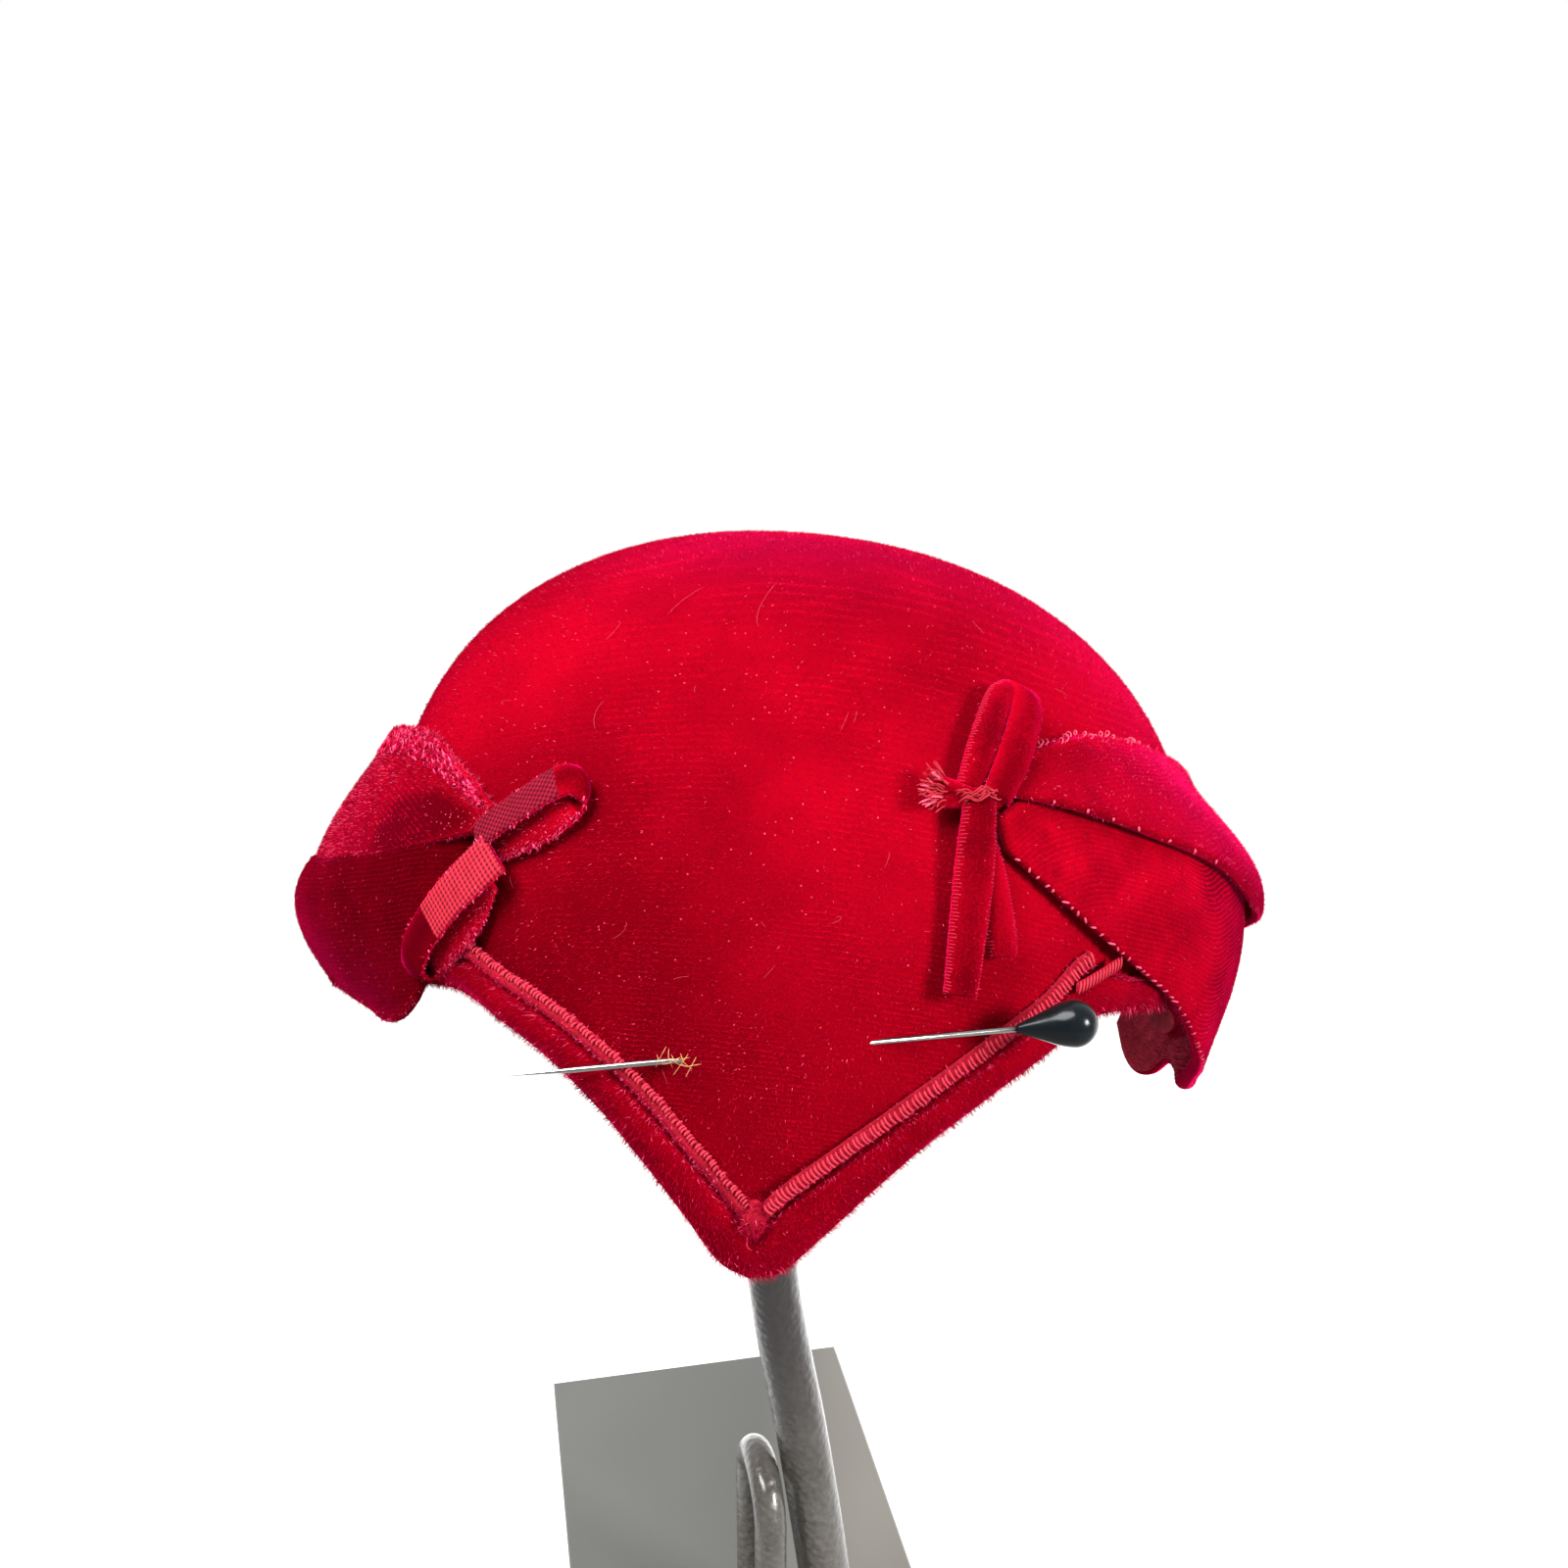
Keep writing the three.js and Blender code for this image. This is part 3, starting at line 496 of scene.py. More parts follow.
def crown_frame(turn, height):
    """Points and outward normals of the crown's surface."""
    turn, height = np.broadcast_arrays(np.asarray(turn, float), np.asarray(height, float))
    angle = np.radians(turn)
    depth = np.where(np.cos(angle) > 0, CROWN_FRONT, CROWN_BACK)
    above = np.clip(height, 0, CROWN_RISE)
    lift = above / CROWN_RISE
    reach = np.clip(1 - lift**DOME_FULLNESS, 0, None) ** (1 / DOME_FULLNESS)
    across = CROWN_SIDE * reach * np.sin(angle)
    along = -depth * reach * np.cos(angle)
    weight = reach ** (DOME_FULLNESS - 2)
    normal_x = weight * across / CROWN_SIDE**2
    normal_y = weight * along / depth**2
    normal_z = lift ** (DOME_FULLNESS - 1) / CROWN_RISE - np.where(height > 0, DOME_LEAN, 0) * normal_x
    normal = unit(np.stack([normal_x, normal_y, normal_z], -1))
    return np.stack([across + DOME_LEAN * above, along, height], -1), normal


def crown_spot(turn, height, off):
    """Points that stand off the crown."""
    spot, normal = crown_frame(turn, height)
    return spot + normal * np.asarray(off, float)[..., None]


def over_crown(points, lift):
    """The points of the upper crown under free points, lifted off it."""
    across = points[..., 0] - DOME_LEAN * points[..., 2]
    depth = np.where(points[..., 1] < 0, CROWN_FRONT, CROWN_BACK)
    reach = np.hypot(across / CROWN_SIDE, points[..., 1] / depth)
    rise = np.clip(points[..., 2], 0, None) / CROWN_RISE
    size = (reach**DOME_FULLNESS + rise**DOME_FULLNESS) ** (1 / DOME_FULLNESS)
    turn = np.degrees(np.arctan2(across / CROWN_SIDE, -points[..., 1] / depth))
    return crown_spot(turn, points[..., 2] / size, lift)


def run_to(height):
    """How far a height lies down the crown from its top."""
    dome = np.arccos(np.clip(height / CROWN_RISE, 0, 1) ** (DOME_FULLNESS / 2))
    return np.where(height > 0, dome, math.pi / 2 - height / CROWN_SIDE)


def height_along(run):
    """The height at such a distance."""
    dome = CROWN_RISE * np.cos(np.clip(run, 0, math.pi / 2)) ** (2 / DOME_FULLNESS)
    return np.where(run < math.pi / 2, dome, (math.pi / 2 - run) * CROWN_SIDE)


def by_side(turn, name):
    """A column of the rim's table on the side that each turn is on."""
    turn = np.asarray(turn, float)
    right = value_at(RIM, name + "Right", np.abs(turn))
    left = value_at(RIM, name + "Left", np.abs(turn))
    return np.where(turn < 0, left, right)


def piping_reach(turn):
    """Half of the piping's upright width, which grows where its line is steep."""
    turn = np.asarray(turn, float)
    away = np.maximum(np.abs(turn), PIPING_START) * np.where(turn < 0, -1, 1)
    rise = by_side(away + 1, "edging") - by_side(away - 1, "edging")
    return PIPING_HALF * np.hypot(1, rise / (math.radians(2) * CROWN_SIDE))


def to_row(points):
    """Hat points in the frame's metres."""
    c = math.cos(HAT_ROLL)
    s = math.sin(HAT_ROLL)
    turned = points @ np.array([[c, 0, -s], [0, 1, 0], [s, 0, c]])
    return (turned + HAT_CENTRE) * MM


# Meshes
def quads(rows, columns, ring=False):
    """Faces that join closed rows of points in turn."""
    a, b = np.meshgrid(np.arange(rows if ring else rows - 1), np.arange(columns), indexing="ij")
    c = (a + 1) % rows
    d = (b + 1) % columns
    corners = [a * columns + b, c * columns + b, c * columns + d, a * columns + d]
    return np.stack(corners, -1).reshape(-1, 4)


def add_piece(name, points, faces, finishes, owner=None, cloth=None, replaces=(), slot=None):
    """A smooth mesh object that rides on the body."""
    mesh = bpy.data.meshes.new(name)
    mesh.from_pydata(points.reshape(-1, 3).tolist(), [], faces)
    for finish in finishes:
        mesh.materials.append(finish)
    if owner is not None:
        mesh.polygons.foreach_set("material_index", np.asarray(owner, np.int32))
    if cloth is not None:
        layer = mesh.attributes.new("cloth", "FLOAT_VECTOR", "POINT")
        layer.data.foreach_set("vector", np.asarray(cloth, np.float32).ravel())
    mesh.shade_smooth()
    mesh.update()
    piece = bpy.data.objects.new(name, mesh)
    bpy.context.scene.collection.objects.link(piece)
    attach(piece, BODY)
    if replaces:
        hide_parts(*replaces)
    return piece


def turned_out(points, faces):
    """The faces of a closed shape, flipped where they face in."""
    flat = points.reshape(-1, 3)
    volume = 0.0
    for face in faces:
        a = flat[face[0]]
        for i in range(1, len(face) - 1):
            volume += float(np.dot(a, np.cross(flat[face[i]], flat[face[i + 1]])))
    if volume < 0:
        return [face[::-1] for face in faces]
    return faces


def section_faces(loops, ring=False):
    """Faces of a closed solid from loops of points, with flat ends unless it is a ring."""
    rows, columns = loops.shape[:2]
    faces = quads(rows, columns, ring).tolist()
    if not ring:
        faces.append(list(range(columns)))
        faces.append(list(range((rows - 1) * columns, rows * columns))[::-1])
    return turned_out(loops, faces)


def sheet_loops(turn, height, off, thick):
    """Closed sections through a sheet with rounded edges.

    The values are arrays with a row for each section and a column for each spot from the top edge down.
    """
    angle = np.linspace(0, math.pi, EDGE_STEPS + 2)[1:-1]
    half = thick / 2
    top_height = height[:, :1] + half[:, :1] * np.sin(angle)
    top_off = off[:, :1] - half[:, :1] * np.cos(angle)
    low_height = height[:, -1:] - half[:, -1:] * np.sin(angle)
    low_off = off[:, -1:] + half[:, -1:] * np.cos(angle)
    heights = np.concatenate([height, low_height, height[:, ::-1], top_height], 1)
    offs = np.concatenate([off + half, low_off, (off - half)[:, ::-1], top_off], 1)
    return crown_spot(turn[:, None], heights, offs)


def along_loops(loops, outer=None, top=EDGE_PILE, low=EDGE_PILE):
    """For each point of lofted loops, the distance along and around them in millimetres.

    The third value is high near the cloth's edges, where pile stands up and the velvet is painted lighter as
    painted sheen: it falls off over the given distances from the top and low edges, and an edge with no
    distance has none.
    """
    forward = np.linalg.norm(np.diff(loops, axis=0), axis=-1)
    around = np.linalg.norm(np.diff(loops, axis=1), axis=-1)
    cloth = np.zeros(loops.shape)
    cloth[1:, :, 0] = np.cumsum(forward, axis=0)
    cloth[:, 1:, 1] = np.cumsum(around, axis=1)
    if outer:
        for part, first, last in ((slice(0, outer), top, low), (slice(outer, None), low, top)):
            place = cloth[:, part, 1] - cloth[:, part, 1][:, :1]
            left = place[:, -1:] - place
            if first:
                cloth[:, part, 2] = np.exp(-place / first)
            if last:
                cloth[:, part, 2] = np.maximum(cloth[:, part, 2], np.exp(-left / last))
    return cloth


def circles(side, rise, sides):
    """Circles of points about a line, from the two ways square to it."""
    angle = np.linspace(0, 2 * math.pi, sides, endpoint=False)[:, None]
    return side[..., None, :] * np.cos(angle) + rise[..., None, :] * np.sin(angle)


def tubes(name, paths, radius, finishes, owner=None, sides=5, taper=0.35, **facts):
    """One mesh of round threads along paths that all have the same number of points, in metres."""
    paths = np.asarray(paths, float)
    count, steps = paths.shape[:2]
    ahead = unit(np.gradient(paths, axis=1))
    helper = np.where(np.abs(ahead[..., 2:]) > 0.9, [1.0, 0, 0], [0, 0, 1.0])
    side = unit(np.cross(ahead, helper))
    size = np.broadcast_to(np.asarray(radius, float), (count,))[:, None, None, None]
    swell = np.ones(steps)
    swell[[0, -1]] = taper
    spread = circles(side, np.cross(side, ahead), sides)
    points = paths[:, :, None] + spread * size * swell[:, None, None]
    one = quads(steps, sides)
    start = np.arange(count)[:, None, None] * steps * sides
    faces = (one[None] + start).reshape(-1, 4).tolist()
    ends = np.arange(sides)
    first = ends[None] + start[:, 0]
    last = ends[None, ::-1] + (steps - 1) * sides + start[:, 0]
    faces += first.tolist() + last.tolist()
    if owner is not None:
        owner = np.concatenate([np.repeat(owner, len(one)), owner, owner])
    return add_piece(name, points, faces, finishes, owner, **facts)


def read(items, key, wide, kind=np.float32):
    """A value of a mesh's items, as an array with a row for each."""
    values = np.empty(len(items) * wide, kind)
    items.foreach_get(key, values)
    return values.reshape(-1, wide)


def add_pile(
    name, piece, finishes, length, density, lean, seed,
    slot="velvet", width=0.1, only=0, edge=0.0, shares=PILE_SHARES,
):
    """Short fibres all over one finish of a piece, leaning as brushed pile does.

    Where the cloth's third value is high, near its edges and where light is painted, they are longer and
    denser, and more of them take the lighter tones as painted sheen, by the share that edge gives.
    """
    rng = np.random.default_rng(seed)
    mesh = piece.data
    mesh.calc_loop_triangles()
    owner = read(mesh.loop_triangles, "material_index", 1, np.int32)[:, 0]
    corners = read(mesh.loop_triangles, "vertices", 3, np.int32)[owner == only]
    points = read(mesh.vertices, "co", 3).astype(float)
    normals = read(mesh.vertex_normals, "vector", 3).astype(float)
    near = np.zeros(len(points))
    if edge:
        near = np.clip(read(mesh.attributes["cloth"].data, "vector", 3)[:, 2].astype(float), -1, 1)
    a, b, c = (points[corners[:, i]] for i in range(3))
    area = np.linalg.norm(np.cross(b - a, c - a), axis=1) / 2
    area = area * np.maximum(1 + 2 * edge * near[corners].mean(1), 0.2)
    fibres = int(area.sum() / MM**2 * density)
    chosen = rng.choice(len(corners), fibres, p=area / area.sum())
    u = np.sqrt(rng.random(fibres))[:, None]
    v = rng.random(fibres)[:, None]
    weights = np.stack([1 - u, u * (1 - v), u * v])
    spot = sum(weights[i] * points[corners[chosen, i]] for i in range(3))
    normal = unit(sum(weights[i] * normals[corners[chosen, i]] for i in range(3)))
    swirl = brushed(spot)
    flat = unit(swirl - normal * (swirl * normal).sum(1, keepdims=True))
    stray = rng.normal(0, 0.34, (fibres, 3))
    ahead = unit(normal + flat * lean + stray)
    close = sum(weights[i] * near[corners[chosen, i]][:, None] for i in range(3))
    reach = length * rng.uniform(0.55, 1.2, fibres)[:, None] * (1 + edge * np.maximum(close, 0))
    side = unit(np.cross(ahead, rng.normal(0, 1, (fibres, 3)))) * width * MM / 2
    base = spot - normal * 0.1 * MM
    corners = np.stack([base - side, base + side, spot + ahead * reach], 1)
    faces = np.arange(fibres * 3).reshape(-1, 3).tolist()
    tone = rng.choice(len(finishes), fibres, p=shares)
    # Painted sheen: fibres near the cloth's edges and on painted light take the light and glint tones
    lighter = rng.random(fibres) < 0.6 * edge * close[:, 0]
    tone = np.where(lighter, len(finishes) - 1 - rng.integers(0, 2, fibres), tone)
    return add_piece(name, corners, faces, finishes, tone, slot=slot)


def brushed(spots):
    """The way the pile lies: down the hat, swept to and fro in patches."""
    x, y, z = (spots / MM).T
    sweep = np.sin(x / 17 + np.sin(z / 23) * 1.6) + np.sin(y / 21 - z / 15 + 1.3)
    turn = 0.9 * sweep
    return np.stack([np.sin(turn), -0.25 * np.cos(turn), -np.cos(turn)], -1)


# Node groups and materials
MIX_A = 6
MIX_B = 7
MIX_OUT = 2


def add_node(tree, kind, inputs=None, **settings):
    """A node with its settings, and with its inputs set or linked."""
    made = tree.nodes.new(kind)
    for key, value in settings.items():
        setattr(made, key, value)
    for key, value in (inputs or {}).items():
        if isinstance(value, bpy.types.NodeSocket):
            tree.links.new(value, made.inputs[key])
        else:
            made.inputs[key].default_value = value
    return made


def maths(tree, operation, a, b=0.0):
    """One step of arithmetic on values."""
    return add_node(tree, "ShaderNodeMath", {0: a, 1: b}, operation=operation).outputs[0]


def times(tree, a, b):
    """Two values multiplied."""
    return maths(tree, "MULTIPLY", a, b)


def plus(tree, a, b):
    """Two values added."""
    return maths(tree, "ADD", a, b)


def blend(tree, factor, a, b, how="MIX"):
    """One colour mixed into another."""
    inputs = {0: factor, MIX_A: a, MIX_B: b}
    return add_node(tree, "ShaderNodeMix", inputs, data_type="RGBA", blend_type=how).outputs[MIX_OUT]


def ranged(tree, value, low, high, start=0.0, end=1.0):
    """A value spread smoothly from one range to another."""
    inputs = {0: value, 1: low, 2: high, 3: start, 4: end}
    return add_node(tree, "ShaderNodeMapRange", inputs, interpolation_type="SMOOTHSTEP").outputs[0]


def millimetres(tree):
    """Places on the object in millimetres."""
    place = add_node(tree, "ShaderNodeTexCoord").outputs["Object"]
    return add_node(tree, "ShaderNodeVectorMath", {0: place, 3: 1 / MM}, operation="SCALE").outputs[0]


def cloth_place(tree):
    """Distances along and across the cloth in millimetres."""
    place = add_node(tree, "ShaderNodeAttribute", attribute_name="cloth").outputs["Vector"]
    return add_node(tree, "ShaderNodeSeparateXYZ", {0: place}).outputs


def noise(tree, place, size, detail=2.0, roughness=0.5):
    """Soft noise with spots of about a given size in millimetres."""
    scale = maths(tree, "DIVIDE", 1.0, size)
    inputs = {"Vector": place, "Scale": scale, "Detail": detail, "Roughness": roughness}
    return add_node(tree, "ShaderNodeTexNoise", inputs).outputs[0]


def new_group(name, inputs, outputs):
    """An empty node group with named sockets."""
    tree = bpy.data.node_groups.new(name, "ShaderNodeTree")
    for label, kind in inputs:
        tree.interface.new_socket(label, in_out="INPUT", socket_type="NodeSocket" + kind)
    for label, kind in outputs:
        tree.interface.new_socket(label, in_out="OUTPUT", socket_type="NodeSocket" + kind)
    return tree, tree.nodes.new("NodeGroupInput").outputs, tree.nodes.new("NodeGroupOutput").inputs


def nap_group():
    """Pile: random patches of lit and deep pile, fine grain, painted light and shade from the cloth's third
    value, and rows of the weave showing through.
    """
    inputs = [
        ("Lit", "Color"), ("Deep", "Color"), ("Patch Size", "Float"),
        ("Row Pitch", "Float"), ("Row Strength", "Float"), ("Row Cover", "Float"), ("Row Opening", "Float"),
    ]
    tree, given, out = new_group("Nap with painted light", inputs, [("Color", "Color"), ("Height", "Float")])
    place = millimetres(tree)
    patch = ranged(tree, noise(tree, place, given["Patch Size"], 3.0, 0.6), 0.32, 0.68)
    grain = noise(tree, place, 0.5, 2.0, 0.7)
    spread = cloth_place(tree)
    across = spread[1]
    # The cloth's third value is painted light and shade: painted sheen on edges, and painted light and shade
    # in patches and on bends
    edge = times(tree, spread[2], 0.9)
    turns = times(tree, maths(tree, "DIVIDE", across, given["Row Pitch"]), 2 * math.pi)
    wander = times(tree, noise(tree, place, 7.0), 5.0)
    row = ranged(tree, maths(tree, "SINE", plus(tree, turns, wander)), -0.2, 1.0)
    broken = ranged(tree, noise(tree, place, 0.7, 1.0), 0.4, 0.62)
    shown = ranged(tree, noise(tree, place, 16.0), 0.36, 0.62)
    shown = maths(tree, "MAXIMUM", times(tree, broken, shown), given["Row Cover"])
    row = times(tree, row, shown)
    row = times(tree, row, given["Row Strength"])
    bent = maths(tree, "MAXIMUM", times(tree, spread[2], -1.0), 0.0)
    opened = plus(tree, times(tree, bent, given["Row Opening"]), 1.0)
    row = times(tree, row, opened)
    level = plus(tree, times(tree, patch, 0.4), times(tree, grain, 0.7))
    level = plus(tree, plus(tree, maths(tree, "SUBTRACT", level, 0.05), row), edge)
    colour = blend(tree, level, given["Deep"], given["Lit"])
    tree.links.new(colour, out["Color"])
    tree.links.new(plus(tree, grain, row), out["Height"])
    return tree


def speck_group():
    """Pale bits of lint and bare weave, strewn in drifts; a high share of them also stands for painted
    glints.
    """
    inputs = [("Spacing", "Float"), ("Share", "Float"), ("Drift Size", "Float")]
    tree, given, out = new_group("Lint specks", inputs, [("Mask", "Float")])
    place = millimetres(tree)
    scale = maths(tree, "DIVIDE", 1.0, given["Spacing"])
    cells = add_node(tree, "ShaderNodeTexVoronoi", {"Vector": place, "Scale": scale})
    dot = ranged(tree, cells.outputs["Distance"], 0.1, 0.22, 1.0, 0.0)
    pick = add_node(tree, "ShaderNodeSeparateColor", {0: cells.outputs["Color"]}).outputs[0]
    drift = ranged(tree, noise(tree, place, given["Drift Size"]), 0.4, 0.66)
    limit = times(tree, drift, given["Share"])
    chosen = maths(tree, "LESS_THAN", pick, limit)
    tree.links.new(times(tree, dot, chosen), out["Mask"])
    return tree


def weave_group():
    """Plain weave: ribs across a ribbon, and threads along it."""
    inputs = [("Pitch", "Float"), ("Slant", "Float"), ("Light", "Color"), ("Dark", "Color")]
    tree, given, out = new_group("Woven ribs", inputs, [("Color", "Color"), ("Height", "Float")])
    place = cloth_place(tree)
    along = times(tree, maths(tree, "DIVIDE", place[0], given["Pitch"]), 2 * math.pi)
    across = times(tree, maths(tree, "DIVIDE", place[1], given["Pitch"]), 2 * math.pi)
    lean = times(tree, across, given["Slant"])
    rib = ranged(tree, maths(tree, "SINE", plus(tree, along, lean)), -0.7, 0.6)
    lean = times(tree, along, given["Slant"])
    thread = ranged(tree, maths(tree, "SINE", maths(tree, "SUBTRACT", across, lean)), -0.8, 0.6)
    height = plus(tree, times(tree, rib, 0.6), times(tree, thread, 0.4))
    wear_and_painted_light = noise(tree, millimetres(tree), 2.6, 2.0)
    level = times(tree, height, ranged(tree, wear_and_painted_light, 0.2, 0.8, 0.75, 1.15))
    tree.links.new(blend(tree, level, given["Dark"], given["Light"]), out["Color"])
    tree.links.new(height, out["Height"])
    return tree


def wear_group():
    """Fine grain and cloudy tone over a plain colour."""
    inputs = [("Tone", "Color"), ("Cloud Size", "Float"), ("Grain Size", "Float"), ("Contrast", "Float")]
    outputs = [("Color", "Color"), ("Level", "Float")]
    tree, given, out = new_group("Uneven tone", inputs, outputs)
    place = millimetres(tree)
    cloud = noise(tree, place, given["Cloud Size"], 4.0, 0.6)
    grain = noise(tree, place, given["Grain Size"], 2.0, 0.7)
    level = times(tree, plus(tree, cloud, grain), 0.5)
    swing = times(tree, maths(tree, "SUBTRACT", level, 0.5), given["Contrast"])
    factor = plus(tree, swing, 1.0)
    grey = add_node(tree, "ShaderNodeCombineColor", {0: factor, 1: factor, 2: factor}).outputs[0]
    tree.links.new(blend(tree, 1.0, given["Tone"], grey, "MULTIPLY"), out["Color"])
    tree.links.new(level, out["Level"])
    return tree


def placed(tree, maker, name, inputs):
    """A node group placed in a material with its own values, and built the first time it is asked for."""
    made = tree.nodes.new("ShaderNodeGroup")
    made.node_tree = bpy.data.node_groups.get(name) or maker()
    for key, value in inputs.items():
        made.inputs[key].default_value = value
    return made.outputs


def rgba(colour, share=1.0):
    """A share of a colour, with full alpha."""
    return (*(part * share for part in colour), 1.0)


def uneven(tree, colour, cloud, grain, contrast):
    """A colour with clouds and grain of given sizes in it."""
    return placed(tree, wear_group, "Uneven tone", {
        "Tone": rgba(colour), "Cloud Size": cloud, "Grain Size": grain, "Contrast": contrast,
    })


def add_relief(tree, shader, height, strength, depth):
    """Fine relief on a shader, with its depth in millimetres."""
    inputs = {"Strength": strength, "Distance": depth * MM, "Height": height}
    tree.links.new(add_node(tree, "ShaderNodeBump", inputs).outputs[0], shader["Normal"])


def new_finish(name, **values):
    """A material with one Principled shader, and values set on its own sockets."""
    made = bpy.data.materials.new(name)
    made.use_nodes = True
    tree = made.node_tree
    shader = tree.nodes["Principled BSDF"]
    for key, value in values.items():
        shader.inputs[key.replace("_", " ")].default_value = value
    return made, tree, shader.inputs


def velvet_finish(
    name, look, patch=34.0, pitch=0.95, rows=0.3, specks=0.12, tone=1.0, sheen=0.9,
    cover=0.0, core=1.0, colour=None, opening=0.0,
):
    """Velvet with random patches, painted light and shade from the cloth's third value, lint specks that can
    stand for painted glints, and weave rows that open where painted shade lies on a bend or hollow.

    Core darkens the deep pile, and a colour takes the place of the look's own.
    """
    if name in bpy.data.materials:
        return bpy.data.materials[name]
    made, tree, shader = new_finish(
        name, Roughness=0.85, Specular_IOR_Level=0.0,
        Sheen_Weight=sheen, Sheen_Roughness=0.3, Sheen_Tint=rgba(look.sheen),
    )
    nap = placed(tree, nap_group, "Nap with painted light", {
        "Lit": rgba(colour or look.lit, tone), "Deep": rgba(colour or look.deep, tone * core),
        "Patch Size": patch, "Row Pitch": pitch, "Row Strength": rows,
        "Row Cover": cover, "Row Opening": opening,
    })
    lint = placed(tree, speck_group, "Lint specks", {"Spacing": 0.9, "Share": specks, "Drift Size": 22.0})
    tree.links.new(blend(tree, lint["Mask"], nap["Color"], rgba(look.specks)), shader["Base Color"])
    add_relief(tree, shader, nap["Height"], 0.6, 0.3)
    return made


def pile_finishes(look):
    """Four tones of bare fibre."""
    light = [0.6 * a + 0.4 * b for a, b in zip(look.lit, look.fluff_and_sheen)]
    tones = {"deep": look.deep, "lit": look.lit, "light": light, "glint": look.glint}
    if "Pile glint" in bpy.data.materials:
        return [bpy.data.materials[f"Pile {tone}"] for tone in tones]
    made = []
    for tone, colour in tones.items():
        finish, tree, shader = new_finish(
            f"Pile {tone}", Roughness=0.7, Specular_IOR_Level=0.0,
            Sheen_Weight=0.7, Sheen_Tint=rgba(look.sheen),
        )
        tree.links.new(uneven(tree, colour, 6.0, 0.7, 0.9)["Color"], shader["Base Color"])
        made.append(finish)
    return made


def lining_finish(look, name="Lining suede", share=1.0):
    """Suede-like wrong side of the cloth, with a share of the lining's full tone; a share below one is a
    darker copy, painted shade.
    """
    if name in bpy.data.materials:
        return bpy.data.materials[name]
    made, tree, shader = new_finish(
        name, Roughness=0.95, Specular_IOR_Level=0.1 * share**3,
        Sheen_Weight=0.3 * share**3, Sheen_Tint=rgba(look.sheen),
    )
    nap = placed(tree, nap_group, "Nap with painted light", {
        "Lit": rgba(look.lining, share), "Deep": rgba(look.lining, 0.3 * share),
        "Patch Size": 5.0, "Row Pitch": 1.0, "Row Strength": 0.1,
    })
    tree.links.new(nap["Color"], shader["Base Color"])
    add_relief(tree, shader, nap["Height"], 0.5, 0.2)
    return made


def woven_finish(name, light, slant, pitch):
    """Ribbed wrong side of a ribbon."""
    if name in bpy.data.materials:
        return bpy.data.materials[name]
    made, tree, shader = new_finish(name, Roughness=0.8, Specular_IOR_Level=0.02)
    weave = placed(tree, weave_group, "Woven ribs", {
        "Pitch": pitch, "Slant": slant, "Light": rgba(light), "Dark": rgba(light, 0.2),
    })
    tree.links.new(weave["Color"], shader["Base Color"])
    add_relief(tree, shader, weave["Height"], 0.7, 0.2)
    return made


def thread_finish(name, colour):
    """Sewing thread with uneven tone along it."""
    if name in bpy.data.materials:
        return bpy.data.materials[name]
    made, tree, shader = new_finish(name, Roughness=0.7, Specular_IOR_Level=0.08)
    tree.links.new(uneven(tree, colour, 3.0, 0.3, 0.9)["Color"], shader["Base Color"])
    return made


# Operators
class TOQUE_OT_crown(bpy.types.Operator):
    """Make the velvet crown and its lining"""

    bl_idname = "toque.crown"
    bl_label = "Crown"

    def execute(self, context):
        look = context.scene.toque_velvet
        turn = np.linspace(-180, 180, CROWN_TURNS, endpoint=False)
        rim = run_to(by_side(turn, "rim"))

        def ring(f, off):
            height = height_along(rim * f)
            return crown_spot(turn, height, np.full(len(turn), off) + soft_dents(turn, height))

        first = 0.5 / CROWN_RINGS
        loops = [ring(f, 0.0) for f in np.linspace(first, 1, CROWN_RINGS)]
        lip = crown_spot(turn, by_side(turn, "rim") - CROWN_WALL / 4, np.full(len(turn), -CROWN_WALL / 2))
        loops.append(lip)
        loops += [ring(f, -CROWN_WALL) for f in np.linspace(1, 0.5 / LINING_RINGS, LINING_RINGS)]
        loops = np.array(loops)
        faces = quads(len(loops), CROWN_TURNS).tolist()
        owner = [0 if face[0] // CROWN_TURNS < CROWN_RINGS else 1 for face in faces]
        faces.append(list(range(CROWN_TURNS)))
        faces.append(list(range((len(loops) - 1) * CROWN_TURNS, len(loops) * CROWN_TURNS))[::-1])
        owner += [0, 1]
        cloth = np.zeros(loops.shape)
        cloth[..., 0] = loops[..., 0]
        cloth[..., 1] = loops[..., 2] + ROW_SAG * loops[..., 0] ** 2
        # The crown's third cloth value is the painted light and shade of those patches
        cloth[..., 2] = painted_light_level(loops)
        # The crown's inside takes a darker copy of the lining as painted shade
        crown = add_piece(
            "crown_velvet", to_row(loops), turned_out(loops, faces),
            [
                velvet_finish("Crown velvet", look, rows=0.5, specks=0.14, sheen=0.36),
                lining_finish(look, "Inner lining", 0.5),
            ],
            owner, cloth, ["crown"], "velvet",
        )
        add_pile("crown_pile", crown, pile_finishes(look), look.pile, 2.4, 0.8, seed=11)
        return {"FINISHED"}


def painted_light_level(points):
    """How much lighter or darker the crown's pile is painted, by the patches of painted light and shade."""
    level = np.zeros(points.shape[:-1])
    for turn, height, reach, strength in PAINTED_LIGHT_PATCHES:
        middle = crown_spot(np.array(turn), np.array(height), np.array(0))
        level += strength * np.exp(-(np.linalg.norm(points - middle, axis=-1) / reach) ** 2)
    return level


def soft_dents(turn, height):
    """Slight unevenness of cloth stretched over a stiff shape."""
    a = np.radians(turn)
    fade = np.clip((CROWN_RISE - height) / 30, 0, 1)
    return fade * (0.22 * np.sin(3 * a + height / 21) + 0.16 * np.sin(5 * a - height / 13 + 1))


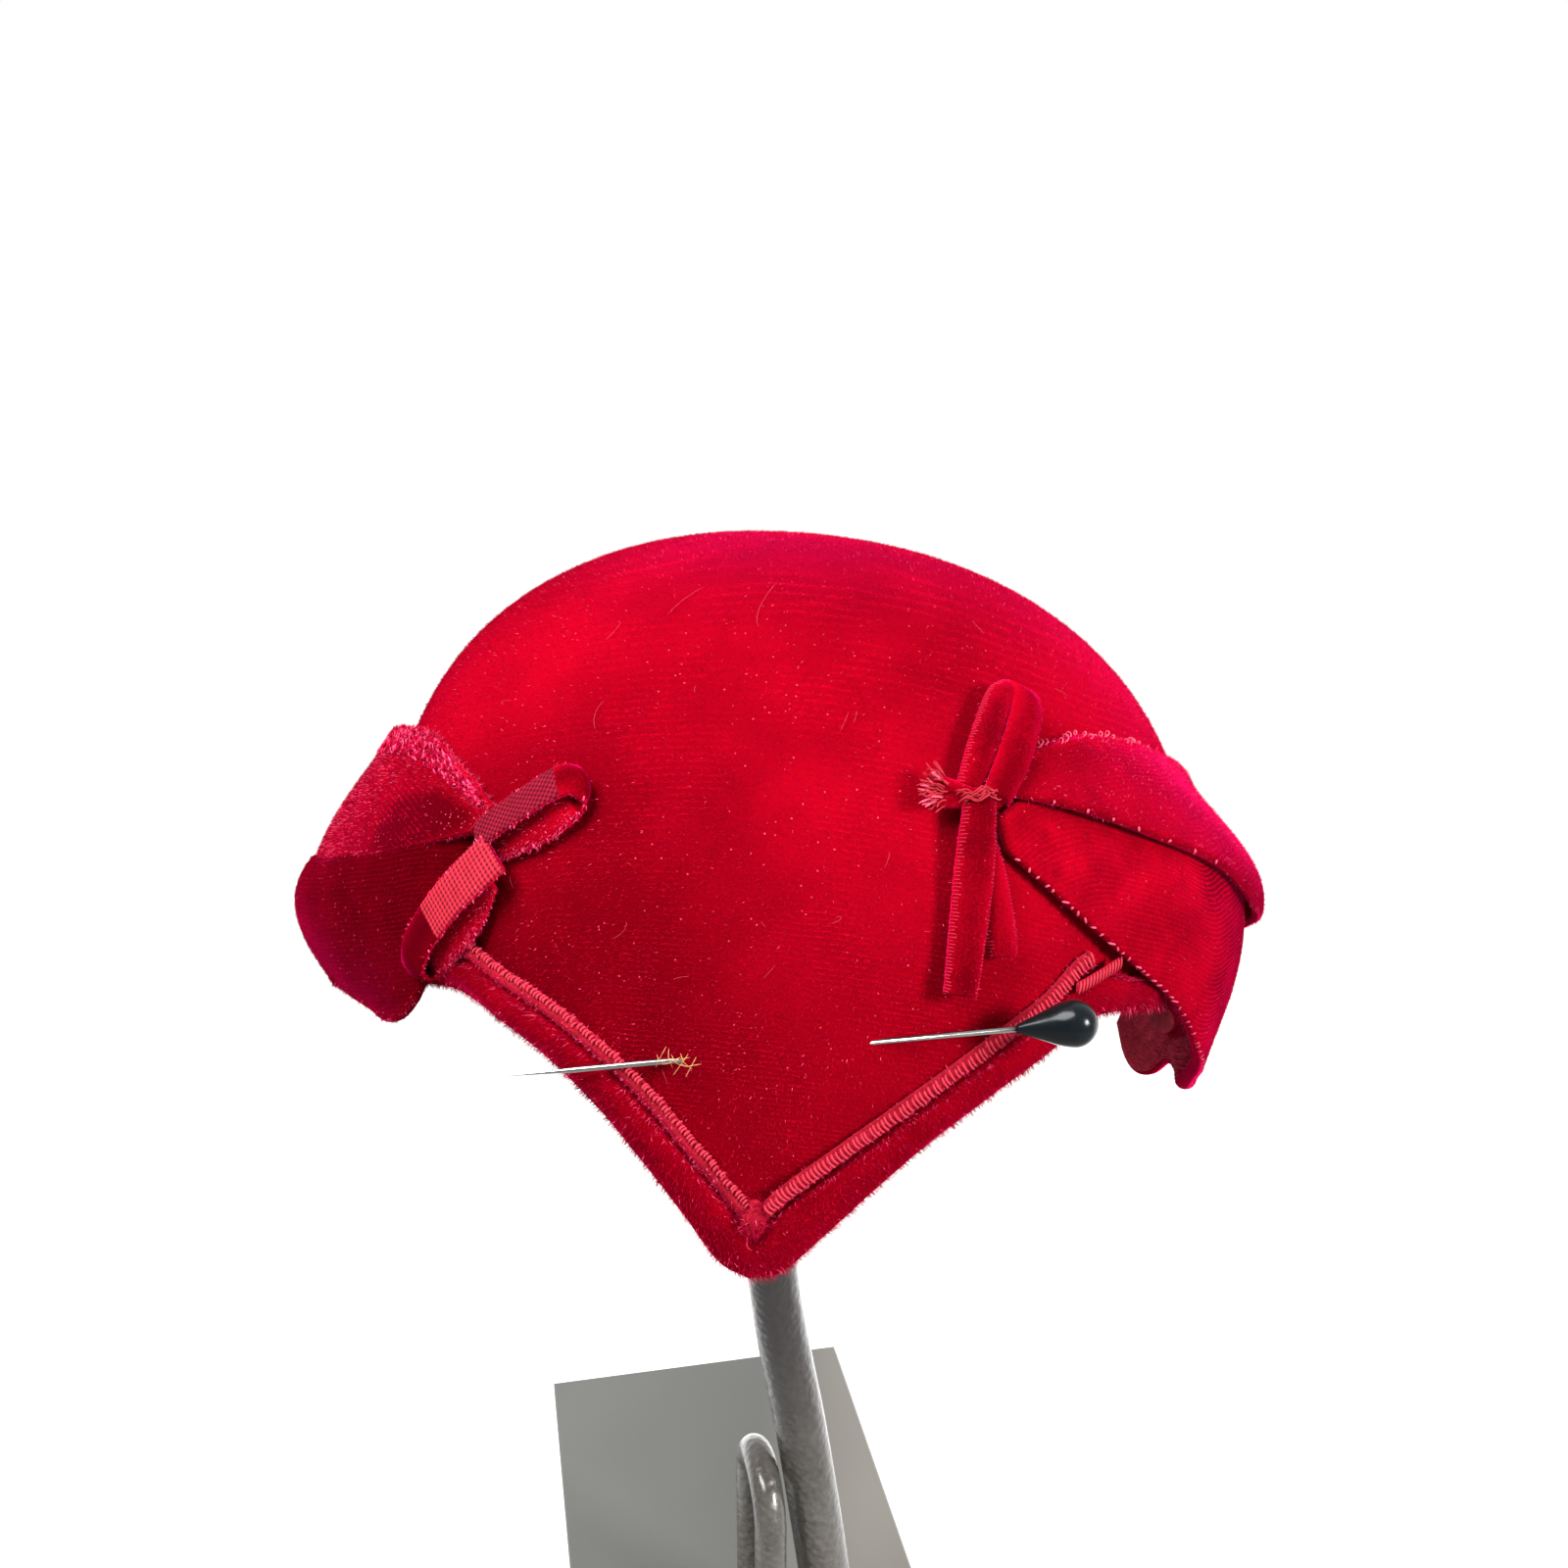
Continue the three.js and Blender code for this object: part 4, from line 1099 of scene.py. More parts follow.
class TOQUE_OT_edge_band(bpy.types.Operator):
    """Make the turned velvet band round the rim"""

    bl_idname = "toque.edge_band"
    bl_label = "Edge band"

    def execute(self, context):
        look = context.scene.toque_velvet
        turn = np.linspace(-180, 180, BAND_TURNS, endpoint=False)
        top = by_side(turn, "edging") - piping_reach(turn) - GAP - BAND_EDGE / 2
        bottom = by_side(turn, "rim") - BAND_OVERHANG + BAND_EDGE / 2
        f = np.linspace(0, 1, BAND_SPOTS)
        height = top[:, None] * (1 - f) + bottom[:, None] * f
        roll = np.sin(math.pi * f**0.8) ** 0.7
        uneven = 1 + 0.1 * np.sin(turn / 3.1) + 0.08 * np.sin(turn / 1.7 + 2)
        thick = BAND_EDGE + (BAND_BULGE - BAND_EDGE) * roll[None] * uneven[:, None]
        loops = sheet_loops(turn, height, GAP + thick / 2, thick)
        faces = section_faces(loops, ring=True)
        finish = velvet_finish("Band velvet", look, 9.0, rows=0.1, specks=0.04, tone=0.8)
        band = add_piece(
            "band_velvet", to_row(loops), faces, [finish],
            None, along_loops(loops, BAND_SPOTS, 0.2), ["edge_band"], "velvet",
        )
        add_pile(
            "band_pile", band, pile_finishes(look), look.edge_pile, 6, 0.5, seed=12, edge=0.7,
            shares=(0.4, 0.45, 0.14, 0.01),
        )
        return {"FINISHED"}


class TOQUE_OT_piping(bpy.types.Operator):
    """Make the narrow ribbon above the band, its knot and its loose end"""

    bl_idname = "toque.piping"
    bl_label = "Piping"

    def execute(self, context):
        velvet = context.scene.toque_velvet
        ribbon = context.scene.toque_ribbon
        fuzzy = velvet_finish(
            "Piping velvet", velvet, 6.0, rows=0.05, specks=0.05, core=0.4, colour=ribbon.edging,
        )
        thread = thread_finish("Piping thread", ribbon.piping)
        for name, side in (("left", -1), ("right", 1)):
            turn = np.linspace(ARM_START, PIPING_END, PIPING_STEPS) * side
            reach = piping_reach(turn)
            f = np.linspace(-1, 1, PIPING_SPOTS)
            height = by_side(turn, "edging")[:, None] - reach[:, None] * f * 0.8
            thick = 0.5 + (PIPING_THICKNESS - 0.5) * np.sqrt(1 - (0.97 * f) ** 2)
            thick = np.broadcast_to(thick, height.shape)
            cord = self.add_strip(f"piping_{name}", turn, height, GAP, thick, fuzzy)
            add_pile(
                f"piping_{name}_pile", cord, pile_finishes(velvet), 0.7 * MM, 6, 0.3, 13 + side,
                "piping", 0.13, shares=(0.05, 0.3, 0.45, 0.2),
            )
            self.add_selvage(name, side, thread)
        self.add_knot(fuzzy, velvet, thread)
        self.add_tail(fuzzy, thread)
        return {"FINISHED"}

    def add_strip(self, node, turn, height, floor, thick, finish):
        """A strip of ribbon that lies over the crown and stands for a solid."""
        loops = sheet_loops(turn, height, floor + thick / 2, thick)
        return add_piece(
            f"{node}_velvet", to_row(loops), section_faces(loops), [finish], None,
            along_loops(loops), [node], "piping",
        )

    def add_selvage(self, name, side, thread):
        """The ribbon's ladder-like woven edge: wide rungs on the right arm, a thin ladder on the left."""
        fine = np.linspace(ARM_START + 0.4, PIPING_END, 900) * side
        spot, normal = crown_frame(fine, by_side(fine, "edging"))
        ahead = unit(np.gradient(spot, axis=0))
        run = np.concatenate([[0], np.cumsum(np.linalg.norm(np.diff(spot, axis=0), axis=1))])
        pitch, low, high = (0.86, -0.7, 1.5) if side > 0 else (0.72, 1.0, 1.9)
        at = np.arange(0.5, run[-1], pitch)
        spot, normal, ahead = (
            np.stack([np.interp(at, run, column) for column in values.T], -1)
            for values in (spot, normal, ahead)
        )
        across = np.cross(normal, ahead) * side
        place = np.linspace(low, high, 7)
        lift = GAP + 0.2 + PIPING_THICKNESS * np.sqrt(np.clip(1 - (place / 2) ** 2, 0, 1))
        rng = np.random.default_rng(17 + side)
        uneven = rng.normal(0, 0.1, (4, len(at), 1))
        place = place * (1 + uneven[0]) + uneven[1]
        lift = lift + 0.6 * uneven[2]
        bend = 0.3 * (np.linspace(-1, 1, 7) ** 2) * side + uneven[3]
        paths = spot[:, None] + across[:, None] * place[..., None]
        paths = paths + normal[:, None] * lift[..., None] + ahead[:, None] * bend[..., None]
        tubes(f"piping_{name}_selvage", to_row(paths), 0.23 * MM, [thread], slot="piping")

    def add_knot(self, fuzzy, velvet, thread):
        """The folded knot at the front point, with a loop of thread under it."""
        turn = np.linspace(-KNOT_TURN, KNOT_TURN, 25)
        size = np.sqrt(np.clip(1 - (turn / 1.6) ** 2, 0, 1))
        f = np.linspace(-1, 1, 15)
        height = KNOT_HEIGHT - 3.4 * size[:, None] * f
        thick = 0.4 + 2.4 * size[:, None] * np.sqrt(1 - (0.97 * f) ** 2)
        knot = self.add_strip("piping_knot", turn, height, GAP, thick, fuzzy)
        add_pile("piping_knot_pile", knot, pile_finishes(velvet), 1.4 * MM, 14, 0.2, 16, "piping", 0.15)
        angle = np.linspace(2.6, 6.8, 14)
        loop = crown_spot(0.3 + 0.8 * np.cos(angle), -25.4 + 1.2 * np.sin(angle), 2.6 + 0 * angle)
        tubes("knot_loop", to_row(loop[None]), 0.12 * MM, [thread], slot="piping")

    def add_tail(self, fuzzy, thread):
        """The second loose end on the right, a flat ladder of threads."""
        turn = np.linspace(TAIL_START, TAIL_END, 44)
        middle = TAIL_HEIGHT + TAIL_SLOPE * (turn - TAIL_START)
        f = np.linspace(-1, 1, 9)
        height = middle[:, None] - 0.8 * f
        thick = np.broadcast_to(0.3 + 0.3 * np.sqrt(1 - (0.97 * f) ** 2), height.shape)
        floor = GAP + PIPING_THICKNESS + 0.3
        self.add_strip("piping_tail", turn, height, floor, thick, fuzzy)
        rungs = np.linspace(TAIL_START + 0.2, TAIL_END, 14)
        reach = np.linspace(-1, 1, 5)
        lift = (TAIL_HEIGHT + TAIL_SLOPE * (rungs - TAIL_START))[:, None] + 1.1 * reach
        off = floor + 0.55 + 0.15 * (1 - reach**2) + 0 * lift
        paths = crown_spot(rungs[:, None] + 0.2 * reach, lift, off)
        tubes("piping_tail_selvage", to_row(paths), 0.2 * MM, [thread], slot="piping")


def pleat_off(rows, turn, f):
    """A pleat's off from the crown, on the cubic through its four offs."""
    names = ("offTop", "offUpper", "offLower", "offBottom")
    place = f * (len(names) - 1)
    total = 0
    for i, name in enumerate(names):
        weight = 1
        for k in range(len(names)):
            if k != i:
                weight = weight * (place - k) / (i - k)
        total = total + weight * value_at(rows, name, turn)
    return total


def pleat_thick(fold, turn, f):
    """A pleat's thickness, which changes near its lower edge to that of the fold there."""
    return PLEAT_THICKNESS + (value_at(fold, "thick", turn) - PLEAT_THICKNESS) * f**FOLD_SHARPNESS


def pleat_spot(rows, side, fold, turn, f, out):
    """Points on a pleat's outer face, lifted off it."""
    height = value_at(rows, "top", turn) * (1 - f) + value_at(rows, "bottom", turn) * f
    off = pleat_off(rows, turn, f) + pleat_thick(fold, turn, f) / 2
    return crown_spot(turn * side, height, off + out)


class TOQUE_OT_wings(bpy.types.Operator):
    """Make the pleated side wings"""

    bl_idname = "toque.wings"
    bl_label = "Wings"

    def execute(self, context):
        look = context.scene.toque_velvet
        for seed, (name, pleat, side, fold, lift, cloth, pile, fluff_and_sheen, cut) in enumerate(WINGS, 21):
            steps = int((pleat["turn"][-1] - pleat["turn"][0]) / WING_STEP) + 1
            turn = np.linspace(pleat["turn"][0], pleat["turn"][-1], steps)
            f = np.linspace(0, 1, WING_SPOTS)
            top = value_at(pleat, "top", turn)[:, None] + lift
            bottom = value_at(pleat, "bottom", turn)[:, None]
            height = top * (1 - f) + bottom * f
            thick = pleat_thick(fold, turn[:, None], f[None])
            off = pleat_off(pleat, turn[:, None], f[None])
            loops = sheet_loops(turn * side, height, off, thick)
            faces = section_faces(loops)
            columns = loops.shape[1]
            inside = np.zeros(columns, bool)
            inside[WING_SPOTS + EDGE_STEPS : 2 * WING_SPOTS + EDGE_STEPS] = True
            owner = [int(inside[face[0] % columns] and inside[face[2] % columns]) for face in faces]
            owner[-2:] = [0, 0]
            finish = velvet_finish(f"{name} velvet", look, 11.0, 1.0, **cloth)
            spread = along_loops(loops, WING_SPOTS, *fluff_and_sheen)
            # Painted shade in the middle of the left upper pleat, and painted light over the rest of it
            if name == "wing_left_upper":
                reach = np.where(f < HOLLOW_PLACE, HOLLOW_ABOVE, HOLLOW_BELOW)
                beside = ((turn[:, None] - HOLLOW_TURN) / HOLLOW_SPAN) ** 2
                painted_hollow_shade = np.exp(-beside - ((f[None] - HOLLOW_PLACE) / reach) ** 2)
                spread[:, :WING_SPOTS, 2] += UPPER_PAINTED_LIGHT - HOLLOW_PAINTED_SHADE * painted_hollow_shade
            # Where the right wings bend round, their rows turn and the velvet takes painted shade
            if side > 0:
                bent = np.clip((turn[:, None] - BEND_START) / BEND_SPAN, 0, 1)
                bent = bent * bent * (3 - 2 * bent)
                level = value_at(pleat, "top", BEND_START + BEND_SPAN / 2)
                spread[:, :WING_SPOTS, 1] += bent * (level - top)
                spread[:, :WING_SPOTS, 2] -= BEND_PAINTED_SHADE * bent
            # Painted light on the right lower pleat's tip
            if name == "wing_right_lower":
                tip = np.clip((turn[:, None] - TIP_START) / TIP_SPAN, 0, 1)
                tip = tip * np.clip((f[None] - TIP_PLACE) / TIP_REACH, 0, 1)
                spread[:, :WING_SPOTS, 2] += TIP_PAINTED_LIGHT * tip
            wing = add_piece(
                f"{name}_velvet", to_row(loops), faces, [finish, lining_finish(look)],
                owner, spread, [name], "velvet",
            )
            add_pile(f"{name}_pile", wing, pile_finishes(look), lean=0.6, seed=seed, **pile)
            if name == "wing_right_lower":
                add_pile(
                    "lining_fuzz", wing, pile_finishes(look), 1.3 * MM, 3, 0.2, 26,
                    only=1, shares=FUZZ_SHARES,
                )
        self.add_tufts(pile_finishes(look)[1:])
        return {"FINISHED"}

    def add_tufts(self, finishes):
        """Clumps of long pile that stand up along the left upper pleat's cut edge."""
        rng = np.random.default_rng(27)
        steps = np.linspace(0, 1, 4)
        turn = rng.uniform(TUFT_START, TUFT_END, (TUFTS, 1))
        f = 0.2 * rng.random((TUFTS, 1)) ** 1.3
        reach = rng.uniform(0.5, 1.3, (TUFTS, 1))
        f = np.maximum(f - 0.04 * reach * steps, -0.05)
        turn = turn + rng.normal(0, 0.5, (TUFTS, 1)) * steps
        out = -0.2 + reach * np.sin(1.4 * steps)
        paths = pleat_spot(WING_LEFT_UPPER, -1, FOLDED_EDGE, turn, f, out)
        # Painted sheen: the tufts take only the lit, light and glint tones
        tone = rng.choice(3, TUFTS, p=(0.25, 0.5, 0.25))
        size = rng.uniform(0.1, 0.22, TUFTS) * MM
        tubes("wing_tufts", to_row(paths), size, finishes, tone, slot="velvet")


def knot_spots(knot, heading, along, across, lift):
    """Points lifted off the crown, by their distances along a heading from a knot and across it."""
    spot, normal = crown_frame(*knot)
    rise = unit(np.array([0, 0, 1.0]) - normal * normal[2])
    side = np.cross(rise, normal)
    angle = math.radians(heading)
    ahead = rise * math.cos(angle) + side * math.sin(angle)
    beside = np.cross(ahead, normal)
    return over_crown(spot + along[..., None] * ahead + across[..., None] * beside, lift)


def ribbon_line(path):
    """Evenly spaced stations along a ribbon's path, the way out of its face, and their places."""
    rows = table(RIBBON_COLUMNS, path)
    steps = np.hypot(np.diff(rows["along"]), np.diff(rows["lift"]))
    rows["run"] = np.concatenate([[0], np.cumsum(steps)])
    at = np.linspace(0, rows["run"][-1], int(rows["run"][-1] / RIBBON_STEP) + 1)
    line = {name: value_at(rows, name, at, "run") for name in RIBBON_COLUMNS.split()}
    along = np.gradient(line["along"])
    lift = np.gradient(line["lift"])
    level = np.hypot(along, lift)
    line["out_along"] = -lift / level
    line["out_lift"] = along / level
    return line, at


def ribbon_spots(knot, heading, line, across, out):
    """Points of a ribbon: across is in half widths, and out is the distance from its face."""
    now = {name: values[:, None] for name, values in line.items()}
    out = out + now["bulge"] * (1 - np.clip(across, -1, 1) ** 2)
    wide = across * now["width"] / 2
    along = now["along"] + now["out_along"] * out
    raised = now["lift"] + now["out_lift"] * out + now["lean"] * wide
    return knot_spots(knot, heading, along, now["shift"] + wide, raised)


class TOQUE_OT_bows(bpy.types.Operator):
    """Make the ribbon bows"""

    bl_idname = "toque.bows"
    bl_label = "Bows"

    def execute(self, context):
        velvet = context.scene.toque_velvet
        look = context.scene.toque_ribbon
        weave = {"pitch": 0.8, "rows": 0.1, "specks": 0.05}
        pile = velvet_finish("Ribbon velvet", velvet, 20.0, tone=1.35, sheen=0.9, core=0.5, **weave)
        # Painted shade: a darker copy of the ribbon velvet for the loops' inner faces
        shaded_inside = velvet_finish("Ribbon inside", velvet, 7.0, tone=0.5, sheen=0.5, **weave)
        backs = {
            "woven": woven_finish("Woven back", look.woven, 0.0, 0.9),
            "shaded": woven_finish("Shaded woven back", look.shaded, 0.8, 1.1),
        }
        thread = thread_finish("Selvage thread", look.selvage)
        for seed, (name, knot, heading, kind, crease, path) in enumerate(RIBBONS, 31):
            line, at = ribbon_line(path)
            place = np.linspace(-1, 1, RIBBON_SPOTS)
            thin = RIBBON_THICKNESS / 2 * np.sqrt(1 - 0.8 * place**6)
            across = np.concatenate([place, place[::-1]])[None]
            out = np.concatenate([thin, -thin[::-1]])[None]
            loops = ribbon_spots(knot, heading, line, across, out)
            faces = section_faces(loops)
            columns = across.shape[1]
            owner = []
            for face in faces:
                under = min(face[0] % columns, face[2] % columns) >= RIBBON_SPOTS
                late = min(face) // columns > crease * len(at)
                deep = min(face) // columns < (LOWER_LAYER if kind == "shaded" else 1) * len(at)
                owner.append((2 if late else int(deep)) if under and kind in backs else 0)
            owner[-2:] = [0, 0]
            finishes = [pile, shaded_inside, backs[kind]] if kind in backs else [pile]
            # Painted sheen on the ribbons' edges, painted shade over their middles, and painted light where
            # they lie in shadow
            spread = along_loops(loops, RIBBON_SPOTS, 2, 2)
            spread[..., 0] = at[:, None]
            spread[..., 2] -= RIBBON_PAINTED_SHADE
            if kind in backs:
                spread[: int(LOWER_LAYER * len(at)), :, 2] += LOOP_PAINTED_LIGHT
            if name == "bow_right_short_tail":
                spread[..., 2] += SHORT_TAIL_PAINTED_LIGHT
            ribbon = add_piece(
                f"{name}_ribbon", to_row(loops), faces, finishes, owner, spread, [name], "ribbon",
            )
            fluff_and_sheen = 1.0 if kind in backs else 0.5
            add_pile(
                f"{name}_pile", ribbon, pile_finishes(velvet), 0.45 * MM, 6, 0.4, seed, "ribbon", edge=fluff_and_sheen,
            )
            if kind in backs:
                self.add_rim(name, knot, heading, line, at, pile_finishes(velvet)[1:])
            elif name != "bow_right_stub":
                self.add_selvage(name, knot, heading, line, at, thread)
        return {"FINISHED"}

    def add_rim(self, name, knot, heading, line, at, finishes):
        """Small tufts of pile that stick out past both edges of a ribbon."""
        rng = np.random.default_rng(len(at))
        count = int(at[-1] * RIM_DENSITY)
        here = np.sort(rng.uniform(0.5, at[-1], count))
        rows = {key: np.interp(here, at, values) for key, values in line.items()}
        steps = np.linspace(0, 1, 4)
        side = rng.choice((-1.0, 1.0), count)[:, None]
        root = rng.uniform(0.66, 0.92, (count, 1))
        across = side * (root + rng.uniform(0.08, 0.24, (count, 1)) * steps)
        out = rng.uniform(-0.3, 0.5, (count, 1)) + rng.normal(0, 0.2, (count, 1)) * steps
        paths = ribbon_spots(knot, heading, rows, across, out)
        # Painted sheen: the rim tufts take only the lit, light and glint tones
        tone = rng.choice(3, count, p=(0.25, 0.55, 0.2))
        tubes(f"{name}_rim", to_row(paths), 0.14 * MM, finishes, tone, slot="ribbon")

    def add_selvage(self, name, knot, heading, line, at, thread):
        """Short ribs that run in from both edges of a ribbon."""
        here = (np.arange(int(at[-1] / SELVAGE_PITCH)) + 0.5) * SELVAGE_PITCH
        rows = {key: np.interp(here, at, values) for key, values in line.items()}
        inward = np.linspace(0, 1, 6)
        half = rows["width"][:, None] / 2
        out = RIBBON_THICKNESS * (0.5 - 0.45 * (1 - inward) ** 3)
        paths = []
        rng = np.random.default_rng(len(here))
        for side in (-1, 1):
            reach = rng.uniform(0.4, 0.95, len(here))[:, None]
            across = side * (1 - reach * inward / half)
            paths.append(ribbon_spots(knot, heading, rows, across, out[None]))
        paths = to_row(np.concatenate(paths))
        tubes(f"{name}_selvage", paths, 0.11 * MM, [thread], slot="ribbon", taper=0.6)


class TOQUE_OT_stitches(bpy.types.Operator):
    """Sew the pleats, wrap the bows and fray the loose ends"""

    bl_idname = "toque.stitches"
    bl_label = "Stitches and loose threads"

    def execute(self, context):
        look = context.scene.toque_ribbon
        thread = thread_finish("Sewing thread", look.thread)
        pale = thread_finish("Pale thread", look.pale)
        fray = thread_finish("Frayed thread", look.fray)
        self.fold_stitches(pale)
        self.seam_stitches(pale)
        self.stub_fray(thread, pale)
        self.pin_fray(fray)
        return {"FINISHED"}

    def fold_stitches(self, thread):
        """Short stitches over the pleats' folded edges."""
        rng = np.random.default_rng(41)
        paths = []
        reach = np.linspace(-1, 1, 5)
        for rows, fold, first, last, count in (
            (WING_RIGHT_LOWER, ROLLED_EDGE, 30, 72, 40),
            (WING_RIGHT_UPPER, FOLDED_EDGE, 36, 62, 7),
        ):
            turn = np.linspace(first, last, count) + rng.normal(0, 0.22, count)
            height = value_at(rows, "top", turn) - value_at(rows, "bottom", turn)
            size = rng.uniform(0.1, 0.35, count)
            f = 1 + ((0.75 + size[:, None] * reach) / height[:, None])
            out = -0.3 - 0.35 * reach
            slant = rng.normal(0, 0.2, count)[:, None] * reach
            paths.append(pleat_spot(rows, 1, fold, turn[:, None] + slant, f, out))
        tubes("fold_stitches", to_row(np.concatenate(paths)), 0.22 * MM, [thread], slot="piping")

    def seam_stitches(self, thread):
        """Looped stitches along the right wing's upper seam."""
        turn = np.linspace(38, 66, 240)
        wave = np.linspace(0, 2 * math.pi * 19, 240)
        height = value_at(WING_RIGHT_UPPER, "top", turn) + 0.6
        height = height + 0.4 * np.sin(wave) + 0.35 * np.sin(wave / 5.3)
        off = 1 + PLEAT_THICKNESS / 2 + 0.5 * np.cos(wave) + 0.35 * np.sin(wave / 3.7)
        path = crown_spot(turn + 0.3 * np.cos(wave), height, off)
        tubes("seam_stitches", to_row(path[None]), 0.11 * MM, [thread], slot="piping")

    def stub_fray(self, thread, pale):
        """Frayed end of the right bow's stub, and the thread wrapped over its knot."""
        rng = np.random.default_rng(42)
        count = 56
        steps = np.linspace(0, 1, 6)
        start = rng.uniform(5.5, 8, count)[:, None]
        side = rng.uniform(-2.6, 2.6, count)[:, None]
        reach = rng.uniform(1.6, 3.8, count)[:, None]
        fan = side / 2.6 * rng.uniform(0.2, 0.9, count)[:, None] + rng.normal(0, 0.2, count)[:, None]
        lift = 3 + rng.uniform(-0.2, 0.9, count)[:, None]
        curl = rng.normal(0, 0.3, count)[:, None]
        along = start + reach * steps * np.cos(fan)
        across = side + reach * steps * np.sin(fan) + curl * np.sin(3 * steps)
        rise = lift + rng.uniform(-0.6, 1.2, count)[:, None] * steps**1.5
        paths = knot_spots(RIGHT_KNOT, STUB_HEADING, along, across, rise)
        tone = rng.choice(2, count, p=(0.75, 0.25))
        tubes("stub_fray", to_row(paths), 0.17 * MM, [thread, pale], tone, slot="ribbon")
        count = 7
        reach = np.linspace(-1, 1, 24)
        wave = rng.uniform(0, 6, count)[:, None]
        wide = rng.uniform(3, 4.6, count)[:, None]
        across = reach * wide - 0.6
        along = rng.uniform(-0.8, 0.8, count)[:, None] + 0.4 * np.sin(7 * reach + wave)
        lift = 4.6 + 1.8 * np.cos(1.5 * reach) + 0.3 * np.cos(9 * reach + wave)
        paths = knot_spots(RIGHT_KNOT, 0, along, across, lift)
        tubes("knot_wraps", to_row(paths), 0.16 * MM, [thread], slot="ribbon")

    def pin_fray(self, fray):
        """Loose yellowish threads where the pin comes out."""
        rng = np.random.default_rng(43)
        count = 10
        steps = np.linspace(-0.4, 0.6, 8)
        turn = PIN_EXIT[0] + rng.uniform(-3.4, 1, count)[:, None]
        height = PIN_EXIT[1] + rng.uniform(-0.5, 0.5, count)[:, None]
        way = rng.uniform(1.2, 3.6, count)[:, None]
        reach = rng.uniform(2.4, 5.6, count)[:, None]
        bend = rng.normal(0, 0.35, count)[:, None]
        across = reach * steps * np.sin(way) + bend * np.sin(2.4 * steps)
        up = reach * steps * np.cos(way) + bend * np.sin(3 * steps)
        off = 1.7 - 3 * np.abs(steps) * rng.uniform(0.4, 1, count)[:, None]
        paths = crown_spot(turn + np.degrees(across / CROWN_FRONT), height + up, off)
        tubes("pin_fray", to_row(paths), 0.045 * MM, [fray], slot="piping")


class TOQUE_OT_lint(bpy.types.Operator):
    """Strew stray hairs and lint on the crown"""

    bl_idname = "toque.lint"
    bl_label = "Lint"

    def execute(self, context):
        rng = np.random.default_rng(51)
        pale = thread_finish("Lint thread", context.scene.toque_velvet.hairs)
        steps = np.linspace(0, 1, 9)
        count = 34
        turn = rng.uniform(-60, 60, count)[:, None]
        height = rng.uniform(0, 74, count)[:, None]
        reach = rng.uniform(1, 4, count)[:, None]
        way = rng.uniform(0, 2 * math.pi, count)[:, None]
        bend = rng.normal(0, 1.1, count)[:, None]
        across = reach * steps * np.cos(way) + bend * np.sin(2.6 * steps)
        up = reach * steps * np.sin(way) + bend * np.cos(2.2 * steps)
        off = 0.55 + 0.5 * rng.random(count)[:, None] * np.sin(math.pi * steps)
        paths = crown_spot(turn + np.degrees(across / CROWN_FRONT), np.clip(height + up, -4, 78), off)
        tubes("lint_hairs", to_row(paths), 0.03 * MM, [pale], slot="velvet", sides=4)
        return {"FINISHED"}


def pin_axis():
    """The pin's entry point and its way towards the bead."""
    sink = np.array(-(PIN_RADIUS + GAP))
    entry = crown_spot(*PIN_ENTRY, sink)
    leave = crown_spot(*PIN_EXIT, sink)
    return entry, unit(entry - leave)


def turned_piece(name, start, way, along, radius, sides, finish, **facts):
    """A round piece turned about a line."""
    helper = unit(np.cross(way, [0, 0, 1.0]))
    spread = circles(helper, np.cross(helper, way), sides)
    loops = start + along[:, None, None] * way + radius[:, None, None] * spread
    return add_piece(name, to_row(loops), section_faces(loops), [finish], **facts)


class TOQUE_OT_hatpin(bpy.types.Operator):
    """Make the hatpin and its bead"""

    bl_idname = "toque.hatpin"
    bl_label = "Hatpin"

    def execute(self, context):
        look = context.scene.toque_stand
        steel, tree, shader = new_finish("Pin steel", Metallic=1.0)
        tone = uneven(tree, look.steel, 30.0, 12.0, 0.4)
        tree.links.new(tone["Color"], shader["Base Color"])
        tree.links.new(ranged(tree, tone["Level"], 0.3, 0.7, 0.16, 0.36), shader["Roughness"])
        gloss, tree, shader = new_finish("Black bead", Specular_IOR_Level=0.12)
        tone = uneven(tree, look.bead, 3.0, 0.4, 1.2)
        tree.links.new(tone["Color"], shader["Base Color"])
        tree.links.new(ranged(tree, tone["Level"], 0.3, 0.7, 0.16, 0.26), shader["Roughness"])
        entry, way = pin_axis()
        along = np.array([0, 0.4, PIN_POINT, PIN_TIP_REACH + PIN_HEAD_REACH + 1.0]) - PIN_TIP_REACH
        radius = np.array([0.03, 0.1, PIN_RADIUS, PIN_RADIUS])
        turned_piece(
            "hatpin_shaft_steel", entry, way, along, radius, 20, steel,
            replaces=["hatpin_shaft"], slot="pin_steel",
        )
        neck = np.linspace(0, BEAD_WIDEST, 30)
        angle = np.linspace(0, math.pi / 2, 20)[1:]
        place = np.concatenate([neck, BEAD_WIDEST + BEAD_RADIUS * np.sin(angle)])
        end = np.maximum(BEAD_RADIUS * np.cos(angle), 0.02)
        size = np.concatenate([value_at(BEAD, "radius", neck, "along"), end])
        turned_piece(
            "hatpin_bead_gloss", entry, way, PIN_HEAD_REACH + place, size, 40, gloss,
            replaces=["hatpin_bead"], slot="bead",
        )
        return {"FINISHED"}


